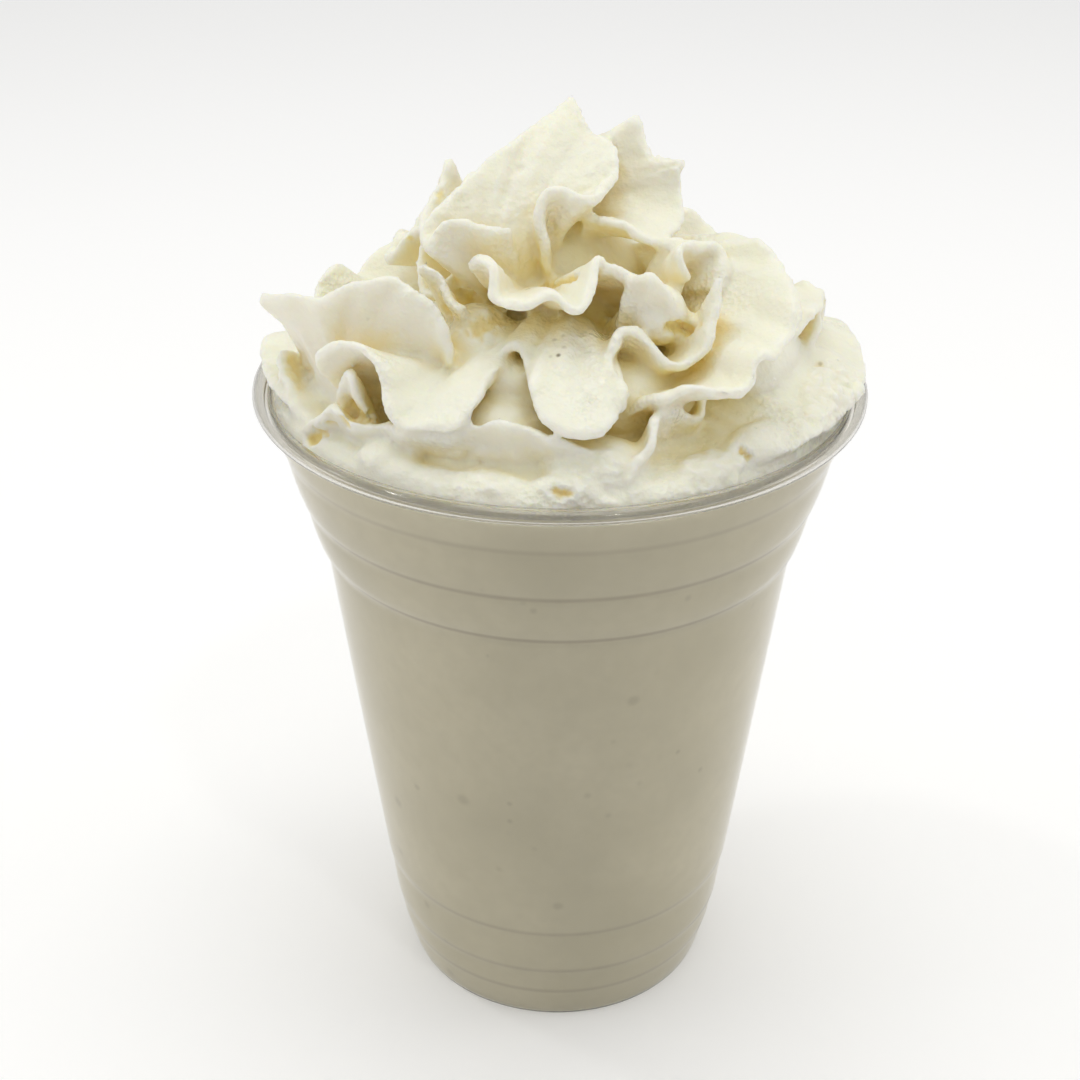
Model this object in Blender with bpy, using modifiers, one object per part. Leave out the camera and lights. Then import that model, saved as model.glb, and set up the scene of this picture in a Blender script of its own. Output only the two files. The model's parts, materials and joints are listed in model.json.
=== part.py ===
"""A vanilla milkshake in a clear plastic cup, with a ruffled heap of whipped cream on top.

Metres, +Z up. The origin is the middle of the ring that the cup stands on, and -Y is the front.
Three pieces: the clear cup, the milkshake that fills it, and the whipped cream, which is one
body of a mound, soft lumps and thin petals whose hems wave up and down.
"""

import math

import bmesh
import bpy
from mathutils import Vector

MM = 0.001

# Cup
RIM_RADIUS = 49.0 * MM
CUP_HEIGHT = 113.8 * MM
WALL = 0.6 * MM
CURL_WIDTH = 2.9 * MM
CURL_DEPTH = 2.4 * MM
CURL_ARC_POINTS = 7
CURL_FROM = 180.0
CURL_TO = -55.0
FOOT_RADIUS = 26.9 * MM
FOOT_WIDTH = 2.6 * MM
BASE_RECESS = 2.0 * MM
FLOOR = 1.0 * MM
# The drink also fills a groove inside the foot ring: how high the groove's bottom is, how far inside
# the ring its slope starts, where it turns steep, and how far outside the ring it ends
GROOVE_FLOOR = 0.8 * MM
GROOVE_START = 1.4 * MM
GROOVE_TURN = 0.3 * MM
GROOVE_DROP = 0.5 * MM
GROOVE_END = 0.6 * MM
CUP_STEPS = 44
WELD = 0.02 * MM
# Height and outer radius up the wall, in mm. Two close heights are a moulded step: two steps are
# near the foot, one is at 22 mm, and the others are the bands under the rim.
WALL_PROFILE = (
    (1.5, 27.6), (6.8, 28.8), (7.3, 29.1), (12.5, 29.8), (13.0, 30.2), (22.0, 31.1), (22.6, 31.5),
    (50.0, 34.7), (86.6, 39.1), (88.3, 40.4), (95.6, 41.9), (96.6, 42.7), (104.8, 44.6),
    (105.8, 45.2), (111.2, 46.4),
)

# Milkshake, which fills the cup to just under its rim
GAP = 0.3 * MM
SHAKE_LEVEL = 110.7 * MM

# Whipped cream
CREAM_BOTTOM = SHAKE_LEVEL + GAP + 0.05 * MM
CUTTER_DEPTH = 30.0 * MM
CREAM_FOOT_RADIUS = 45.1 * MM
HEM_THICKNESS = 1.9 * MM
ROOT_THICKNESS = 4.6 * MM
ROOT_SINK = 3.0 * MM
# How fast a petal thins on its way from the root to the hem
THINNING = 1.3
HEM_STEP = 2.4 * MM
LEAST_COLUMNS = 4
SAMPLES_PER_SPAN = 40
PETAL_ROWS = 5
MOUND_STEPS = 48
LUMP_SEGMENTS = 20
LUMP_RINGS = 12
SKIN_VOXEL = 0.95 * MM
SOFTEN_SHARE = 0.5
SOFTEN_ROUNDS = 2
CREAM_TRIANGLES = 8300
# Distance from the axis and height, in mm, up the mound that the petals grow from
MOUND_PROFILE = (
    (45.1, 113.4), (43.5, 114.6), (38.0, 115.2), (30.0, 117.0), (22.5, 120.4), (19.0, 126.0),
    (14.5, 132.0), (8.0, 139.0), (4.5, 146.0), (0.0, 149.0),
)

# Petals that show from the front. Each is a sheet from a root line on the mound to a wavy hem. A
# point is an azimuth in degrees (0 is the front, 90 the right), a distance from the axis and a
# height, in mm. Rise is the angle at which the sheet leaves the mound, and pull how far it keeps it.
PETALS = {
    "top_plume": dict(
        rise=70, pull=0.35,
        root=((-50, 20, 136), (-32, 15, 137), (-20, 9, 136), (-12, 7, 132)),
        hem=((-48, 26, 140), (-54, 24, 143), (-57, 18, 146.5), (-62, 11, 150.5), (-105, 4, 153),
             (168, 5.4, 155.6), (164, 5.6, 155.8), (105, 4.5, 152), (72, 7.5, 151.5), (55, 10, 150),
             (36, 12.5, 147), (16, 13.5, 146.5), (2, 13, 147.5),
             (-10, 14, 147), (-12, 15, 144), (-7, 15, 139), (-10, 13, 134)),
    ),
    "second_plume": dict(
        rise=40, pull=0.35,
        root=((110, 4, 150), (90, 5, 146), (60, 6, 141), (20, 6, 138)),
        hem=((125, 9, 150), (100, 11, 153), (96, 11.4, 154), (88, 12.5, 150.5), (84, 14, 148),
             (80, 17.6, 148.8), (77, 18, 147.5), (72, 18.4, 144.5), (68, 19.5, 142), (55, 20, 140.5),
             (42, 20, 140), (33, 16, 143), (26, 14, 143), (18, 12, 142)),
    ),
    "left_tip": dict(
        rise=60, pull=0.4,
        root=((-108, 12, 134), (-84, 12, 136), (-62, 13, 135)),
        hem=((-114, 18, 139), (-100, 18.5, 143), (-92, 17.4, 147), (-90, 17.2, 147.6), (-84, 18.4, 144.5),
             (-74, 21, 142), (-64, 23, 139.5)),
    ),
    "under_plume": dict(
        rise=50, pull=0.4,
        root=((-44, 16, 130), (-28, 13, 133)),
        hem=((-46, 26, 139), (-47, 25, 142), (-42, 22, 144), (-34, 19, 143), (-26, 16, 142)),
    ),
    "left_curl": dict(
        rise=70, pull=0.4,
        root=((-46, 22, 128), (-34, 22, 126)),
        hem=((-50, 27, 136), (-46, 28, 138), (-41, 26, 137), (-37, 27, 134), (-33, 27, 132)),
    ),
    "middle_tier": dict(
        rise=25, pull=0.4,
        root=((-34, 14, 130), (-8, 13, 132), (16, 12, 132), (40, 13, 129)),
        hem=((-31, 25, 138), (-27, 26, 140), (-22, 27, 140), (-18, 29, 136), (-10, 30, 136),
             (-2, 29, 137), (5, 30, 136), (9.6, 28, 137), (11, 25, 139.6), (12, 23.4, 141), (15.4, 22.6, 140.8),
             (16.6, 23.4, 139.4), (19.4, 23.6, 139.4), (21.6, 24.2, 138.2), (25, 25, 137), (30, 25.4, 136),
             (36, 26, 134), (43, 25, 134.6), (50, 24, 137)),
    ),
    "left_petal": dict(
        rise=85, pull=0.5,
        root=((-76, 38, 115), (-56, 36, 119), (-32, 26, 122)),
        hem=((-80, 43, 126), (-77, 46, 130), (-66, 44, 133), (-58, 41, 134), (-50, 37, 137),
             (-45, 33.6, 137.8), (-39, 31.6, 135.8), (-34, 30.8, 133.6), (-31, 30.8, 130), (-30, 31, 126)),
    ),
    "left_tuck": dict(
        rise=75, pull=0.4,
        root=((-54, 36, 111), (-43, 35, 111)),
        hem=((-59, 39, 115.5), (-52, 41, 121), (-46.4, 42, 125.6), (-43.6, 42, 124.6), (-43.6, 41, 120.6),
             (-42, 40, 117)),
    ),
    "main_front": dict(
        rise=20, pull=0.4,
        root=((-60, 34, 116), (-34, 24, 122), (-16, 20, 128), (2, 20, 129.5), (16, 20, 127),
              (30, 22, 122), (44, 25, 126)),
        hem=((-57, 42, 123), (-54, 43, 127), (-48, 42, 130), (-42, 41, 130), (-37, 41, 126),
             (-33, 42.8, 122), (-26, 42.4, 121.6), (-19, 41, 122.4), (-19.4, 33.4, 126), (-16, 28, 128),
             (-10, 29, 128), (-6, 36, 125), (-2, 40, 123), (5, 42, 122), (11, 40, 123), (14, 36, 125),
             (13, 31, 129), (17, 29, 132), (23, 30, 130), (31, 33.5, 127.2), (36, 35, 129),
             (39.5, 34.4, 131.6), (42, 33.4, 134.8), (44.6, 32.3, 138.4)),
    ),
    "bowl": dict(
        rise=10, pull=0.6,
        root=((20, 20, 128), (34, 20, 127), (47, 21, 126)),
        hem=((21, 25, 136), (24, 26.4, 138), (27.5, 27.8, 138.9), (31, 29, 137), (34, 29.6, 134.2),
             (40, 29, 131.8)),
    ),
    "small_curl": dict(
        rise=60, pull=0.4,
        root=((45, 18, 131), (60, 18, 131)),
        hem=((45, 26.4, 136), (41.6, 26.4, 138.4), (42.5, 25.2, 140.6), (48, 24.4, 140.9), (57, 24.4, 139.4),
             (66, 25.4, 137.6), (68, 26.4, 135)),
    ),
    "lower_front": dict(
        rise=85, pull=0.5,
        root=((-62, 40, 108), (-40, 37, 109), (-10, 35, 110), (16, 36, 109)),
        hem=((-62, 44, 112), (-57, 44.2, 115), (-51, 44, 118.6), (-46, 44, 120.4), (-42, 42.6, 119),
             (-38, 41.4, 118.6), (-33, 42, 120.4), (-28, 41.4, 120), (-23, 40.8, 120.4), (-17, 39.6, 121),
             (-12, 39.6, 123.2), (-6, 39.6, 121.4), (0, 40.6, 120.6), (6, 40.4, 119), (12, 40, 118),
             (16, 39, 116)),
    ),
    "rim_ridge": dict(
        rise=80, pull=0.5,
        root=((10, 40, 109), (24, 32, 110), (38, 31, 112)),
        hem=((12, 44, 114), (15, 42, 118), (19, 40, 121), (26, 36, 122), (31, 36, 120), (34, 36, 120),
             (38, 34, 122)),
    ),
    "right_droop": dict(
        rise=20, pull=0.35,
        root=((14, 26, 116), (30, 26, 119), (46, 24, 125), (60, 20, 132), (82, 14, 135)),
        hem=((16, 32, 121), (20, 36, 123.6), (24, 39, 125), (28, 41.6, 127), (32, 42.8, 126.2), (36, 44, 127),
             (38.4, 43, 129.6), (40.6, 43.4, 130.4), (43, 44, 129.4), (46, 43.4, 131.6), (50, 43, 132),
             (56, 41, 135), (62, 36, 138), (70, 31, 139), (80, 26, 138)),
    ),
    "rim_blade": dict(
        rise=80, pull=0.5,
        root=((35, 38, 109), (44, 37, 109)),
        hem=((35.6, 42, 113), (37.4, 42.4, 115.4), (39.4, 42.4, 117), (42, 41.6, 115.8), (45, 41, 112.6)),
    ),
    "right_curl": dict(
        rise=60, pull=0.4,
        root=((42, 16, 130), (54, 19, 130)),
        hem=((46, 20, 140), (50, 22, 140.5), (53, 24, 140), (58, 26, 140), (61, 27.5, 138), (56, 29, 136),
             (52, 29, 134)),
    ),
    "right_flow": dict(
        rise=5, pull=0.55,
        root=((30, 28, 113), (56, 26, 118), (84, 24, 121), (108, 24, 121)),
        hem=((26, 41, 114), (36, 43, 114.6), (46, 45.2, 115.3), (56, 46.2, 115.5), (66, 46.8, 116),
             (76, 48, 117.6), (86, 47.6, 116.6), (96, 47, 118), (106, 45, 116.6)),
    ),
    "right_shell": dict(
        rise=40, pull=0.4,
        root=((70, 22, 122), (92, 22, 124), (116, 22, 123)),
        hem=((66, 36, 125), (76, 40, 127), (88, 41, 126.5), (96, 41.5, 121), (104, 39, 124),
             (114, 36, 122)),
    ),
    "left_skirt": dict(
        rise=15, pull=0.4,
        root=((-52, 34, 112), (-74, 32, 116), (-96, 30, 118), (-118, 30, 116)),
        hem=((-50, 42, 114), (-60, 43, 115), (-70, 45, 115.8), (-80, 46.5, 117.2), (-90, 47, 118),
             (-100, 46, 116), (-110, 45, 118), (-120, 43, 115)),
    ),
}

# Petals of the sides and back, which repeat the front ones: which one, how far round it is turned in
# degrees, whether it is mirrored, and the share of its distance and the height in mm it differs by.
REPEATS = {
    "back_main_right": ("main_front", 134, False, 0.94, -2.0),
    "back_main_left": ("main_front", 214, True, 0.9, -2.5),
    "back_droop": ("right_droop", 128, False, 0.85, -6.0),
    "back_droop_left": ("right_droop", -62, True, 0.82, -7.0),
    "back_petal": ("left_petal", 200, False, 0.88, -7.5),
    "back_middle_right": ("middle_tier", 98, False, 0.92, -3.0),
    "back_middle": ("middle_tier", 190, True, 1.0, -1.5),
    "back_middle_left": ("middle_tier", 262, False, 0.9, -3.0),
    "back_under": ("under_plume", 150, True, 1.0, -1.0),
    "back_plume": ("second_plume", 128, False, 1.05, -11.0),
    "left_plume": ("second_plume", 178, False, 1.15, -12.0),
    "back_wall_right": ("lower_front", 168, False, 1.0, 0.0),
    "back_wall": ("lower_front", 236, False, 1.0, 0.5),
    "back_wall_left": ("lower_front", 238, True, 1.0, 0.0),
}

# Rounded lumps: azimuth, distance and height of the middle, and half sizes away from the axis,
# along the rim and up
LUMPS = {
    "right_shoulder": (84, 30, 115, 13, 20, 9),
    "left_shoulder": (-84, 34, 114, 10, 16, 6),
    "back_shoulder": (180, 28, 115, 15, 24, 8),
    "pocket_ball": (-16, 32.4, 117.6, 6.4, 8.4, 5.2),
    "pocket_back": (-17, 27, 120.4, 5, 9, 5),
    "pocket_top": (-18, 26.8, 123.2, 4.6, 7, 3.6),
    "bowl_ball": (34, 25.4, 131.6, 4.2, 4.4, 4.6),
    "shell_filling": (68, 32.6, 120.6, 6, 10, 7),
    "crest_filling": (21, 26, 120, 7, 9, 6),
    "neck_filling": (-33, 22, 125, 6, 7, 7),
    "foot_left": (-33, 42, 113.4, 3.2, 5, 2.6),
    "foot_middle": (-14, 41.6, 113.2, 3.4, 8, 2.6),
    "foot_right": (8, 37.5, 114.5, 6, 8, 5),
    "foam_left": (-37, 41.8, 114, 3.2, 4.4, 2.9),
    "foam_left_front": (-25, 42, 113, 3, 7, 2.4),
    "foam_right": (2, 42, 113.8, 3, 6, 2.6),
    "foam_blade": (31, 41.4, 114, 3.4, 6.4, 2.4),
    "bump_right_front": (60, 43.6, 115.8, 3.2, 4.4, 2.6),
    "bump_right": (67, 43.4, 116.4, 3.4, 4.6, 2.8),
    "bump_right_back": (76, 44, 117, 3, 4.6, 2.8),
    "rim_right_front": (44, 41.6, 115, 3.5, 7, 3.4),
    "rim_right": (70, 41.4, 115.8, 3.7, 8, 4.2),
    "rim_right_back": (112, 41, 115.3, 4, 8, 4),
    "rim_back_right": (142, 41, 114.8, 4, 10, 4),
    "rim_back": (176, 41, 114.4, 3.9, 9, 3.6),
    "rim_back_left": (214, 40.8, 115, 4.2, 11, 4.4),
    "rim_left_back": (248, 41, 114.6, 3.9, 9, 3.8),
}

# sRGB colours as seen in the photo, and how rough and how clear each surface is
CUP_COLOUR = (232, 236, 232)
CUP_ROUGHNESS = 0.08
CUP_CLEARNESS = 0.9
SHAKE_COLOUR = (206, 198, 172)
SHAKE_ROUGHNESS = 0.45
CREAM_COLOUR = (238, 236, 216)
CREAM_ROUGHNESS = 0.4


def clean_scene():
    """Removes whatever the scene holds."""
    for old in list(bpy.data.objects):
        bpy.data.objects.remove(old, do_unlink=True)


def new_collection(name):
    """A collection of the scene."""
    group = bpy.data.collections.new(name)
    bpy.context.scene.collection.children.link(group)
    return group


def linear(colour):
    """Linear colour, with alpha, of an sRGB one of 0 to 255."""
    shares = [c / 255 for c in colour]
    return [s / 12.92 if s < 0.04045 else ((s + 0.055) / 1.055) ** 2.4 for s in shares] + [1.0]


def material(name, colour, roughness, clearness=0.0):
    """A Principled material."""
    look = bpy.data.materials.new(name)
    look.use_nodes = True
    shader = look.node_tree.nodes["Principled BSDF"]
    shader.inputs["Base Color"].default_value = linear(colour)
    shader.inputs["Roughness"].default_value = roughness
    shader.inputs["Metallic"].default_value = 0.0
    shader.inputs["Transmission Weight"].default_value = clearness
    look.diffuse_color = linear(colour)
    return look


def turned(name, profile, steps, collection):
    """Closed body turned from (radius, height) pairs that run down its outer side from the axis."""
    data = bpy.data.meshes.new(name)
    edges = [(i, i + 1) for i in range(len(profile) - 1)]
    data.from_pydata([(radius, 0.0, height) for radius, height in profile], edges, [])
    body = bpy.data.objects.new(name, data)
    collection.objects.link(body)
    screw = body.modifiers.new("turn", "SCREW")
    screw.axis = "Z"
    screw.steps = steps
    screw.render_steps = steps
    screw.use_merge_vertices = True
    screw.merge_threshold = WELD
    screw.use_smooth_shade = True
    return body


def inner_radius(height):
    """Radius of the inside of the cup's wall at a height in metres."""
    rows = [(z * MM, r * MM) for z, r in WALL_PROFILE]
    for (z0, r0), (z1, r1) in zip(rows, rows[1:]):
        if height <= z1:
            share = max((height - z0) / (z1 - z0), 0.0)
            return r0 + (r1 - r0) * share - WALL
    return rows[-1][1] - WALL


def foot_groove(gap):
    """(radius, height) points off the floor and down the foot's groove, a gap away from the plastic."""
    ring = FOOT_RADIUS - FOOT_WIDTH + gap
    floor = BASE_RECESS + FLOOR + gap
    low = GROOVE_FLOOR + gap
    return [(ring - GROOVE_START, floor), (ring - GROOVE_TURN, floor - GROOVE_DROP),
            (ring + GROOVE_END, low), (FOOT_RADIUS - WALL - gap, low)]


def cup(collection):
    """The clear cup: a thin stepped wall, a curled rim, and a floor set up inside a foot ring."""
    profile = [(0.0, BASE_RECESS + FLOOR)] + foot_groove(0.0)
    profile += [(r * MM - WALL, z * MM) for z, r in WALL_PROFILE]
    # The curl is a solid bead: from its inner side over the top and down its outer side
    for i in range(CURL_ARC_POINTS + 1):
        turn = math.radians(CURL_FROM + (CURL_TO - CURL_FROM) * i / CURL_ARC_POINTS)
        profile.append((RIM_RADIUS - CURL_WIDTH / 2 + math.cos(turn) * CURL_WIDTH / 2,
                        CUP_HEIGHT - CURL_DEPTH / 2 + math.sin(turn) * CURL_DEPTH / 2))
    profile += [(r * MM, z * MM) for z, r in reversed(WALL_PROFILE)]
    ring = FOOT_RADIUS - FOOT_WIDTH
    profile += [(FOOT_RADIUS, 0.0), (ring, 0.0), (ring - BASE_RECESS / 2, BASE_RECESS), (0.0, BASE_RECESS)]
    body = turned("cup", profile, CUP_STEPS, collection)
    body.data.materials.append(material("clear_plastic", CUP_COLOUR, CUP_ROUGHNESS, CUP_CLEARNESS))


def milkshake(collection):
    """The drink: solid from the cup's floor to the level shown, a gap away from the plastic."""
    heights = [z * MM for z, r in WALL_PROFILE if z * MM < SHAKE_LEVEL]
    heights[0] += GAP
    profile = [(0.0, SHAKE_LEVEL)]
    profile += [(inner_radius(z) - GAP, z) for z in [SHAKE_LEVEL] + heights[::-1]]
    profile += foot_groove(GAP)[::-1] + [(0.0, BASE_RECESS + FLOOR + GAP)]
    body = turned("milkshake", profile, CUP_STEPS, collection)
    body.data.materials.append(material("thick_milk", SHAKE_COLOUR, SHAKE_ROUGHNESS))


def polar(azimuth, radius, height):
    """A point from its azimuth in degrees and, in mm, its distance from the axis and height."""
    turn = math.radians(azimuth)
    return Vector((radius * math.sin(turn), -radius * math.cos(turn), height)) * MM


def on_curve(points, share):
    """The point at a share, 0 to 1, of the smooth curve that runs through all the points."""
    last = len(points) - 1
    place = min(max(share, 0.0), 1.0) * last
    start = min(int(place), last - 1)
    t = place - start
    b, c = points[start], points[start + 1]
    a = points[start - 1] if start > 0 else b * 2 - c
    d = points[start + 2] if start + 2 <= last else c * 2 - b
    return 0.5 * (2 * b + (c - a) * t + (2 * a - 5 * b + 4 * c - d) * t ** 2
                  + (3 * b - a - 3 * c + d) * t ** 3)


def even_shares(points, step):
    """Shares of the smooth curve through the points that lie a step apart along it."""
    fine = SAMPLES_PER_SPAN * (len(points) - 1)
    lengths = [0.0]
    for i in range(fine):
        lengths.append(lengths[-1] + (on_curve(points, (i + 1) / fine) - on_curve(points, i / fine)).length)
    count = max(round(lengths[-1] / step), LEAST_COLUMNS)
    shares = []
    at = 0
    for i in range(count + 1):
        goal = lengths[-1] * i / count
        while at < fine - 1 and lengths[at + 1] < goal:
            at += 1
        shares.append((at + (goal - lengths[at]) / (lengths[at + 1] - lengths[at])) / fine)
    return shares


def petal_sheet(root, hem, rise, pull):
    """Middle surface of a petal: columns of points that run from the root line out to the hem."""
    root_line = [polar(*point) for point in root]
    hem_line = [polar(*point) for point in hem]
    sheet = []
    for share in even_shares(hem_line, HEM_STEP):
        edge = on_curve(hem_line, share)
        foot = on_curve(root_line, share)
        away = Vector((foot.x, foot.y, 0.0)).normalized()
        leave = away * math.cos(math.radians(rise)) + Vector((0.0, 0.0, math.sin(math.radians(rise))))
        foot = foot - leave * ROOT_SINK
        bend = foot + leave * (edge - foot).length * pull
        column = []
        for row in range(PETAL_ROWS + 1):
            t = row / PETAL_ROWS
            column.append(foot * (1 - t) ** 2 + bend * 2 * t * (1 - t) + edge * t ** 2)
        sheet.append(column)
    return sheet


def petal(name, root, hem, rise, pull, collection):
    """Closed body of a petal: its sheet made thick at the root and thin at a rounded hem."""
    sheet = petal_sheet(root, hem, rise, pull)
    columns, rows = len(sheet), len(sheet[0])
    mesh = bmesh.new()
    rings = []
    for i, column in enumerate(sheet):
        upper, lower = [], []
        for j, point in enumerate(column):
            along = sheet[min(i + 1, columns - 1)][j] - sheet[max(i - 1, 0)][j]
            across = column[min(j + 1, rows - 1)] - column[max(j - 1, 0)]
            normal = across.cross(along).normalized()
            fade = (1 - j / (rows - 1)) ** THINNING
            half = 0.5 * (HEM_THICKNESS + (ROOT_THICKNESS - HEM_THICKNESS) * fade)
            upper.append(mesh.verts.new(point + normal * half))
            lower.append(mesh.verts.new(point - normal * half))
        out = (column[-1] - column[-2]).normalized()
        nose = mesh.verts.new(column[-1] + out * HEM_THICKNESS / 2)
        rings.append(upper + [nose] + lower[::-1])
    for ring, following in zip(rings, rings[1:]):
        for k in range(len(ring)):
            m = (k + 1) % len(ring)
            mesh.faces.new((ring[k], ring[m], following[m], following[k]))
    mesh.faces.new(rings[0])
    mesh.faces.new(rings[-1])
    bmesh.ops.triangulate(mesh, faces=mesh.faces[:])
    bmesh.ops.recalc_face_normals(mesh, faces=mesh.faces[:])
    data = bpy.data.meshes.new(name)
    mesh.to_mesh(data)
    mesh.free()
    body = bpy.data.objects.new(name, data)
    collection.objects.link(body)


def moved(points, turn, mirrored, share, rise):
    """The same line elsewhere: mirrored if so, turned round the axis, and changed in size."""
    side = -1 if mirrored else 1
    return [(side * azimuth + turn, radius * share, height + rise) for azimuth, radius, height in points]


def lump(name, azimuth, radius, height, deep, wide, tall, collection):
    """A rounded lump, as an ellipsoid turned to face away from the axis."""
    bpy.ops.mesh.primitive_uv_sphere_add(segments=LUMP_SEGMENTS, ring_count=LUMP_RINGS, radius=1.0)
    body = bpy.context.object
    body.name = name
    for group in list(body.users_collection):
        group.objects.unlink(body)
    collection.objects.link(body)
    body.location = polar(azimuth, radius, height)
    body.rotation_euler.z = math.radians(azimuth)
    body.scale = Vector((wide, deep, tall)) * MM


def drink_cutter(collection):
    """The room of the drink, which the cream's lumps and roots are cut off at."""
    bpy.ops.mesh.primitive_cylinder_add(vertices=CUP_STEPS, radius=RIM_RADIUS, depth=CUTTER_DEPTH)
    cutter = bpy.context.object
    cutter.name = "drink_cutter"
    for group in list(cutter.users_collection):
        group.objects.unlink(cutter)
    collection.objects.link(cutter)
    cutter.location.z = CREAM_BOTTOM - CUTTER_DEPTH / 2
    cutter.hide_render = True
    cutter.display_type = "WIRE"
    return cutter


def keep_largest(data):
    """Drops the walls of hollows that the joining sealed, and any loose scrap."""
    mesh = bmesh.new()
    mesh.from_mesh(data)
    left = set(mesh.verts)
    pieces = []
    while left:
        piece = [left.pop()]
        for vert in piece:
            for edge in vert.link_edges:
                other = edge.other_vert(vert)
                if other in left:
                    left.remove(other)
                    piece.append(other)
        pieces.append(piece)
    pieces.sort(key=len)
    for piece in pieces[:-1]:
        bmesh.ops.delete(mesh, geom=piece, context="VERTS")
    mesh.to_mesh(data)
    mesh.free()


def applied(body):
    """The object's mesh with its modifiers applied, put in place of the old one."""
    graph = bpy.context.evaluated_depsgraph_get()
    data = bpy.data.meshes.new_from_object(body.evaluated_get(graph))
    body.modifiers.clear()
    body.data = data
    return data


def soften(body):
    """Turns the joined sheets into one soft even skin with few triangles."""
    skin = body.modifiers.new("skin", "REMESH")
    skin.mode = "VOXEL"
    skin.voxel_size = SKIN_VOXEL
    smooth = body.modifiers.new("smooth", "SMOOTH")
    smooth.factor = SOFTEN_SHARE
    smooth.iterations = SOFTEN_ROUNDS
    data = applied(body)
    keep_largest(data)
    thin = body.modifiers.new("thin", "DECIMATE")
    thin.ratio = CREAM_TRIANGLES / (2 * len(data.polygons))
    thin.use_collapse_triangulate = True
    return applied(body)


def whipped_cream(collection):
    """The whipped cream: a turned mound that petals and lumps are joined to."""
    profile = [(r * MM, z * MM) for r, z in reversed(MOUND_PROFILE)]
    profile += [(CREAM_FOOT_RADIUS, CREAM_BOTTOM), (0.0, CREAM_BOTTOM)]
    mound = turned("whipped_cream", profile, MOUND_STEPS, collection)
    extras = new_collection("cream_folds")
    for name, shape in PETALS.items():
        petal(name, collection=extras, **shape)
    for name, (of, turn, mirrored, share, rise) in REPEATS.items():
        shape = PETALS[of]
        petal(name, moved(shape["root"], turn, mirrored, share, rise),
              moved(shape["hem"], turn, mirrored, share, rise), shape["rise"], shape["pull"], extras)
    for name, shape in LUMPS.items():
        lump(name, *shape, extras)
    join = mound.modifiers.new("join", "BOOLEAN")
    join.operation = "UNION"
    join.operand_type = "COLLECTION"
    join.collection = extras
    join.solver = "MANIFOLD"
    cutters = new_collection("cutters")
    flat = mound.modifiers.new("flat", "BOOLEAN")
    flat.operation = "DIFFERENCE"
    flat.object = drink_cutter(cutters)
    flat.solver = "MANIFOLD"
    applied(mound)
    for group in (extras, cutters):
        for old in list(group.objects):
            bpy.data.objects.remove(old, do_unlink=True)
        bpy.data.collections.remove(group)
    data = soften(mound)
    data.materials.clear()
    data.materials.append(material("cream", CREAM_COLOUR, CREAM_ROUGHNESS))
    data.shade_smooth()


def main():
    """Builds the cup, the milkshake and the whipped cream."""
    clean_scene()
    parts = new_collection("vanilla_milkshake")
    cup(parts)
    milkshake(parts)
    whipped_cream(parts)


if __name__ == "__main__":
    main()
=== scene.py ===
"""Looks of a vanilla milkshake: a clear flared cup, the thick drink in it and its whipped cream.

Metres, +Z up, -Y the front. The origin is the middle of the ring that the cup stands on. Lengths in
the tables are in millimetres and angles in degrees.
"""

import json
import math

import bmesh
import bpy
import numpy as np
from bpy.props import FloatProperty, FloatVectorProperty, IntProperty, PointerProperty
from mathutils import Matrix, Vector, noise
from mathutils.bvhtree import BVHTree

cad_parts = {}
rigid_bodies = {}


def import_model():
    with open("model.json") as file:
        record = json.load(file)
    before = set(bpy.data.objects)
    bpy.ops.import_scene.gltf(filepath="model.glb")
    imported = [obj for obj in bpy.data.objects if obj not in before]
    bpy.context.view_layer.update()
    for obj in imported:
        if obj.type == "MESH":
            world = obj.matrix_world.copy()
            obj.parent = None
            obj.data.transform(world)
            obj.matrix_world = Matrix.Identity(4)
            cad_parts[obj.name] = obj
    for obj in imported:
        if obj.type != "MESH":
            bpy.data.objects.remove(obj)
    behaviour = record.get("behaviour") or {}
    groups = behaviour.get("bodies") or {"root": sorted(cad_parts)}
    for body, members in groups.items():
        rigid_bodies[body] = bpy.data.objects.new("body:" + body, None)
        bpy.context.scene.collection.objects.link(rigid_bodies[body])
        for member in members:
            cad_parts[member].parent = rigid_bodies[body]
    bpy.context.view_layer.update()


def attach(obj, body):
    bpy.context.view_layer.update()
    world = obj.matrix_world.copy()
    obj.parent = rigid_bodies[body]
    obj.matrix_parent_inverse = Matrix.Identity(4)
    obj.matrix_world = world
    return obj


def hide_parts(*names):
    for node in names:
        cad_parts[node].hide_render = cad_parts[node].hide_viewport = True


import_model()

bl_info = {
    "name": "Vanilla Milkshake",
    "version": (1, 0, 0),
    "blender": (4, 5, 0),
    "location": "View3D > Sidebar > Milkshake",
    "description": "Makes a milkshake in a clear cup, heaped with whipped cream",
    "category": "Add Mesh",
}

MM = 0.001
SENSOR_WIDTH = 36.0
# Points of a turned profile that are closer than this are one
MERGE_GAP = 0.01 * MM
# Facets round the cream's mound and the room that is cut off under it
TURNED_STEPS = 96
# Spacing in mm of the points up the wall, and the fewest rows of points in one band
WALL_ROW = 1.2
LEAST_WALL_ROWS = 4
# The foot's outer flare and bevel, and the groove in the foot ring: where the floor starts to fall,
# where it turns, how far it has fallen there, and where the groove's bottom begins
FOOT_FLARE = 0.3 * MM
FOOT_BEVEL = 0.4 * MM
GROOVE_START = 1.4 * MM
GROOVE_TURN = 0.3 * MM
GROOVE_DROP = 0.5 * MM
GROOVE_END = 0.6 * MM
# Angles round the roll of the rim, from its inner side over the top to its tucked-in end
CURL_FROM = 190.0
CURL_TO = -115.0
CURL_POINTS = 30

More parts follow.
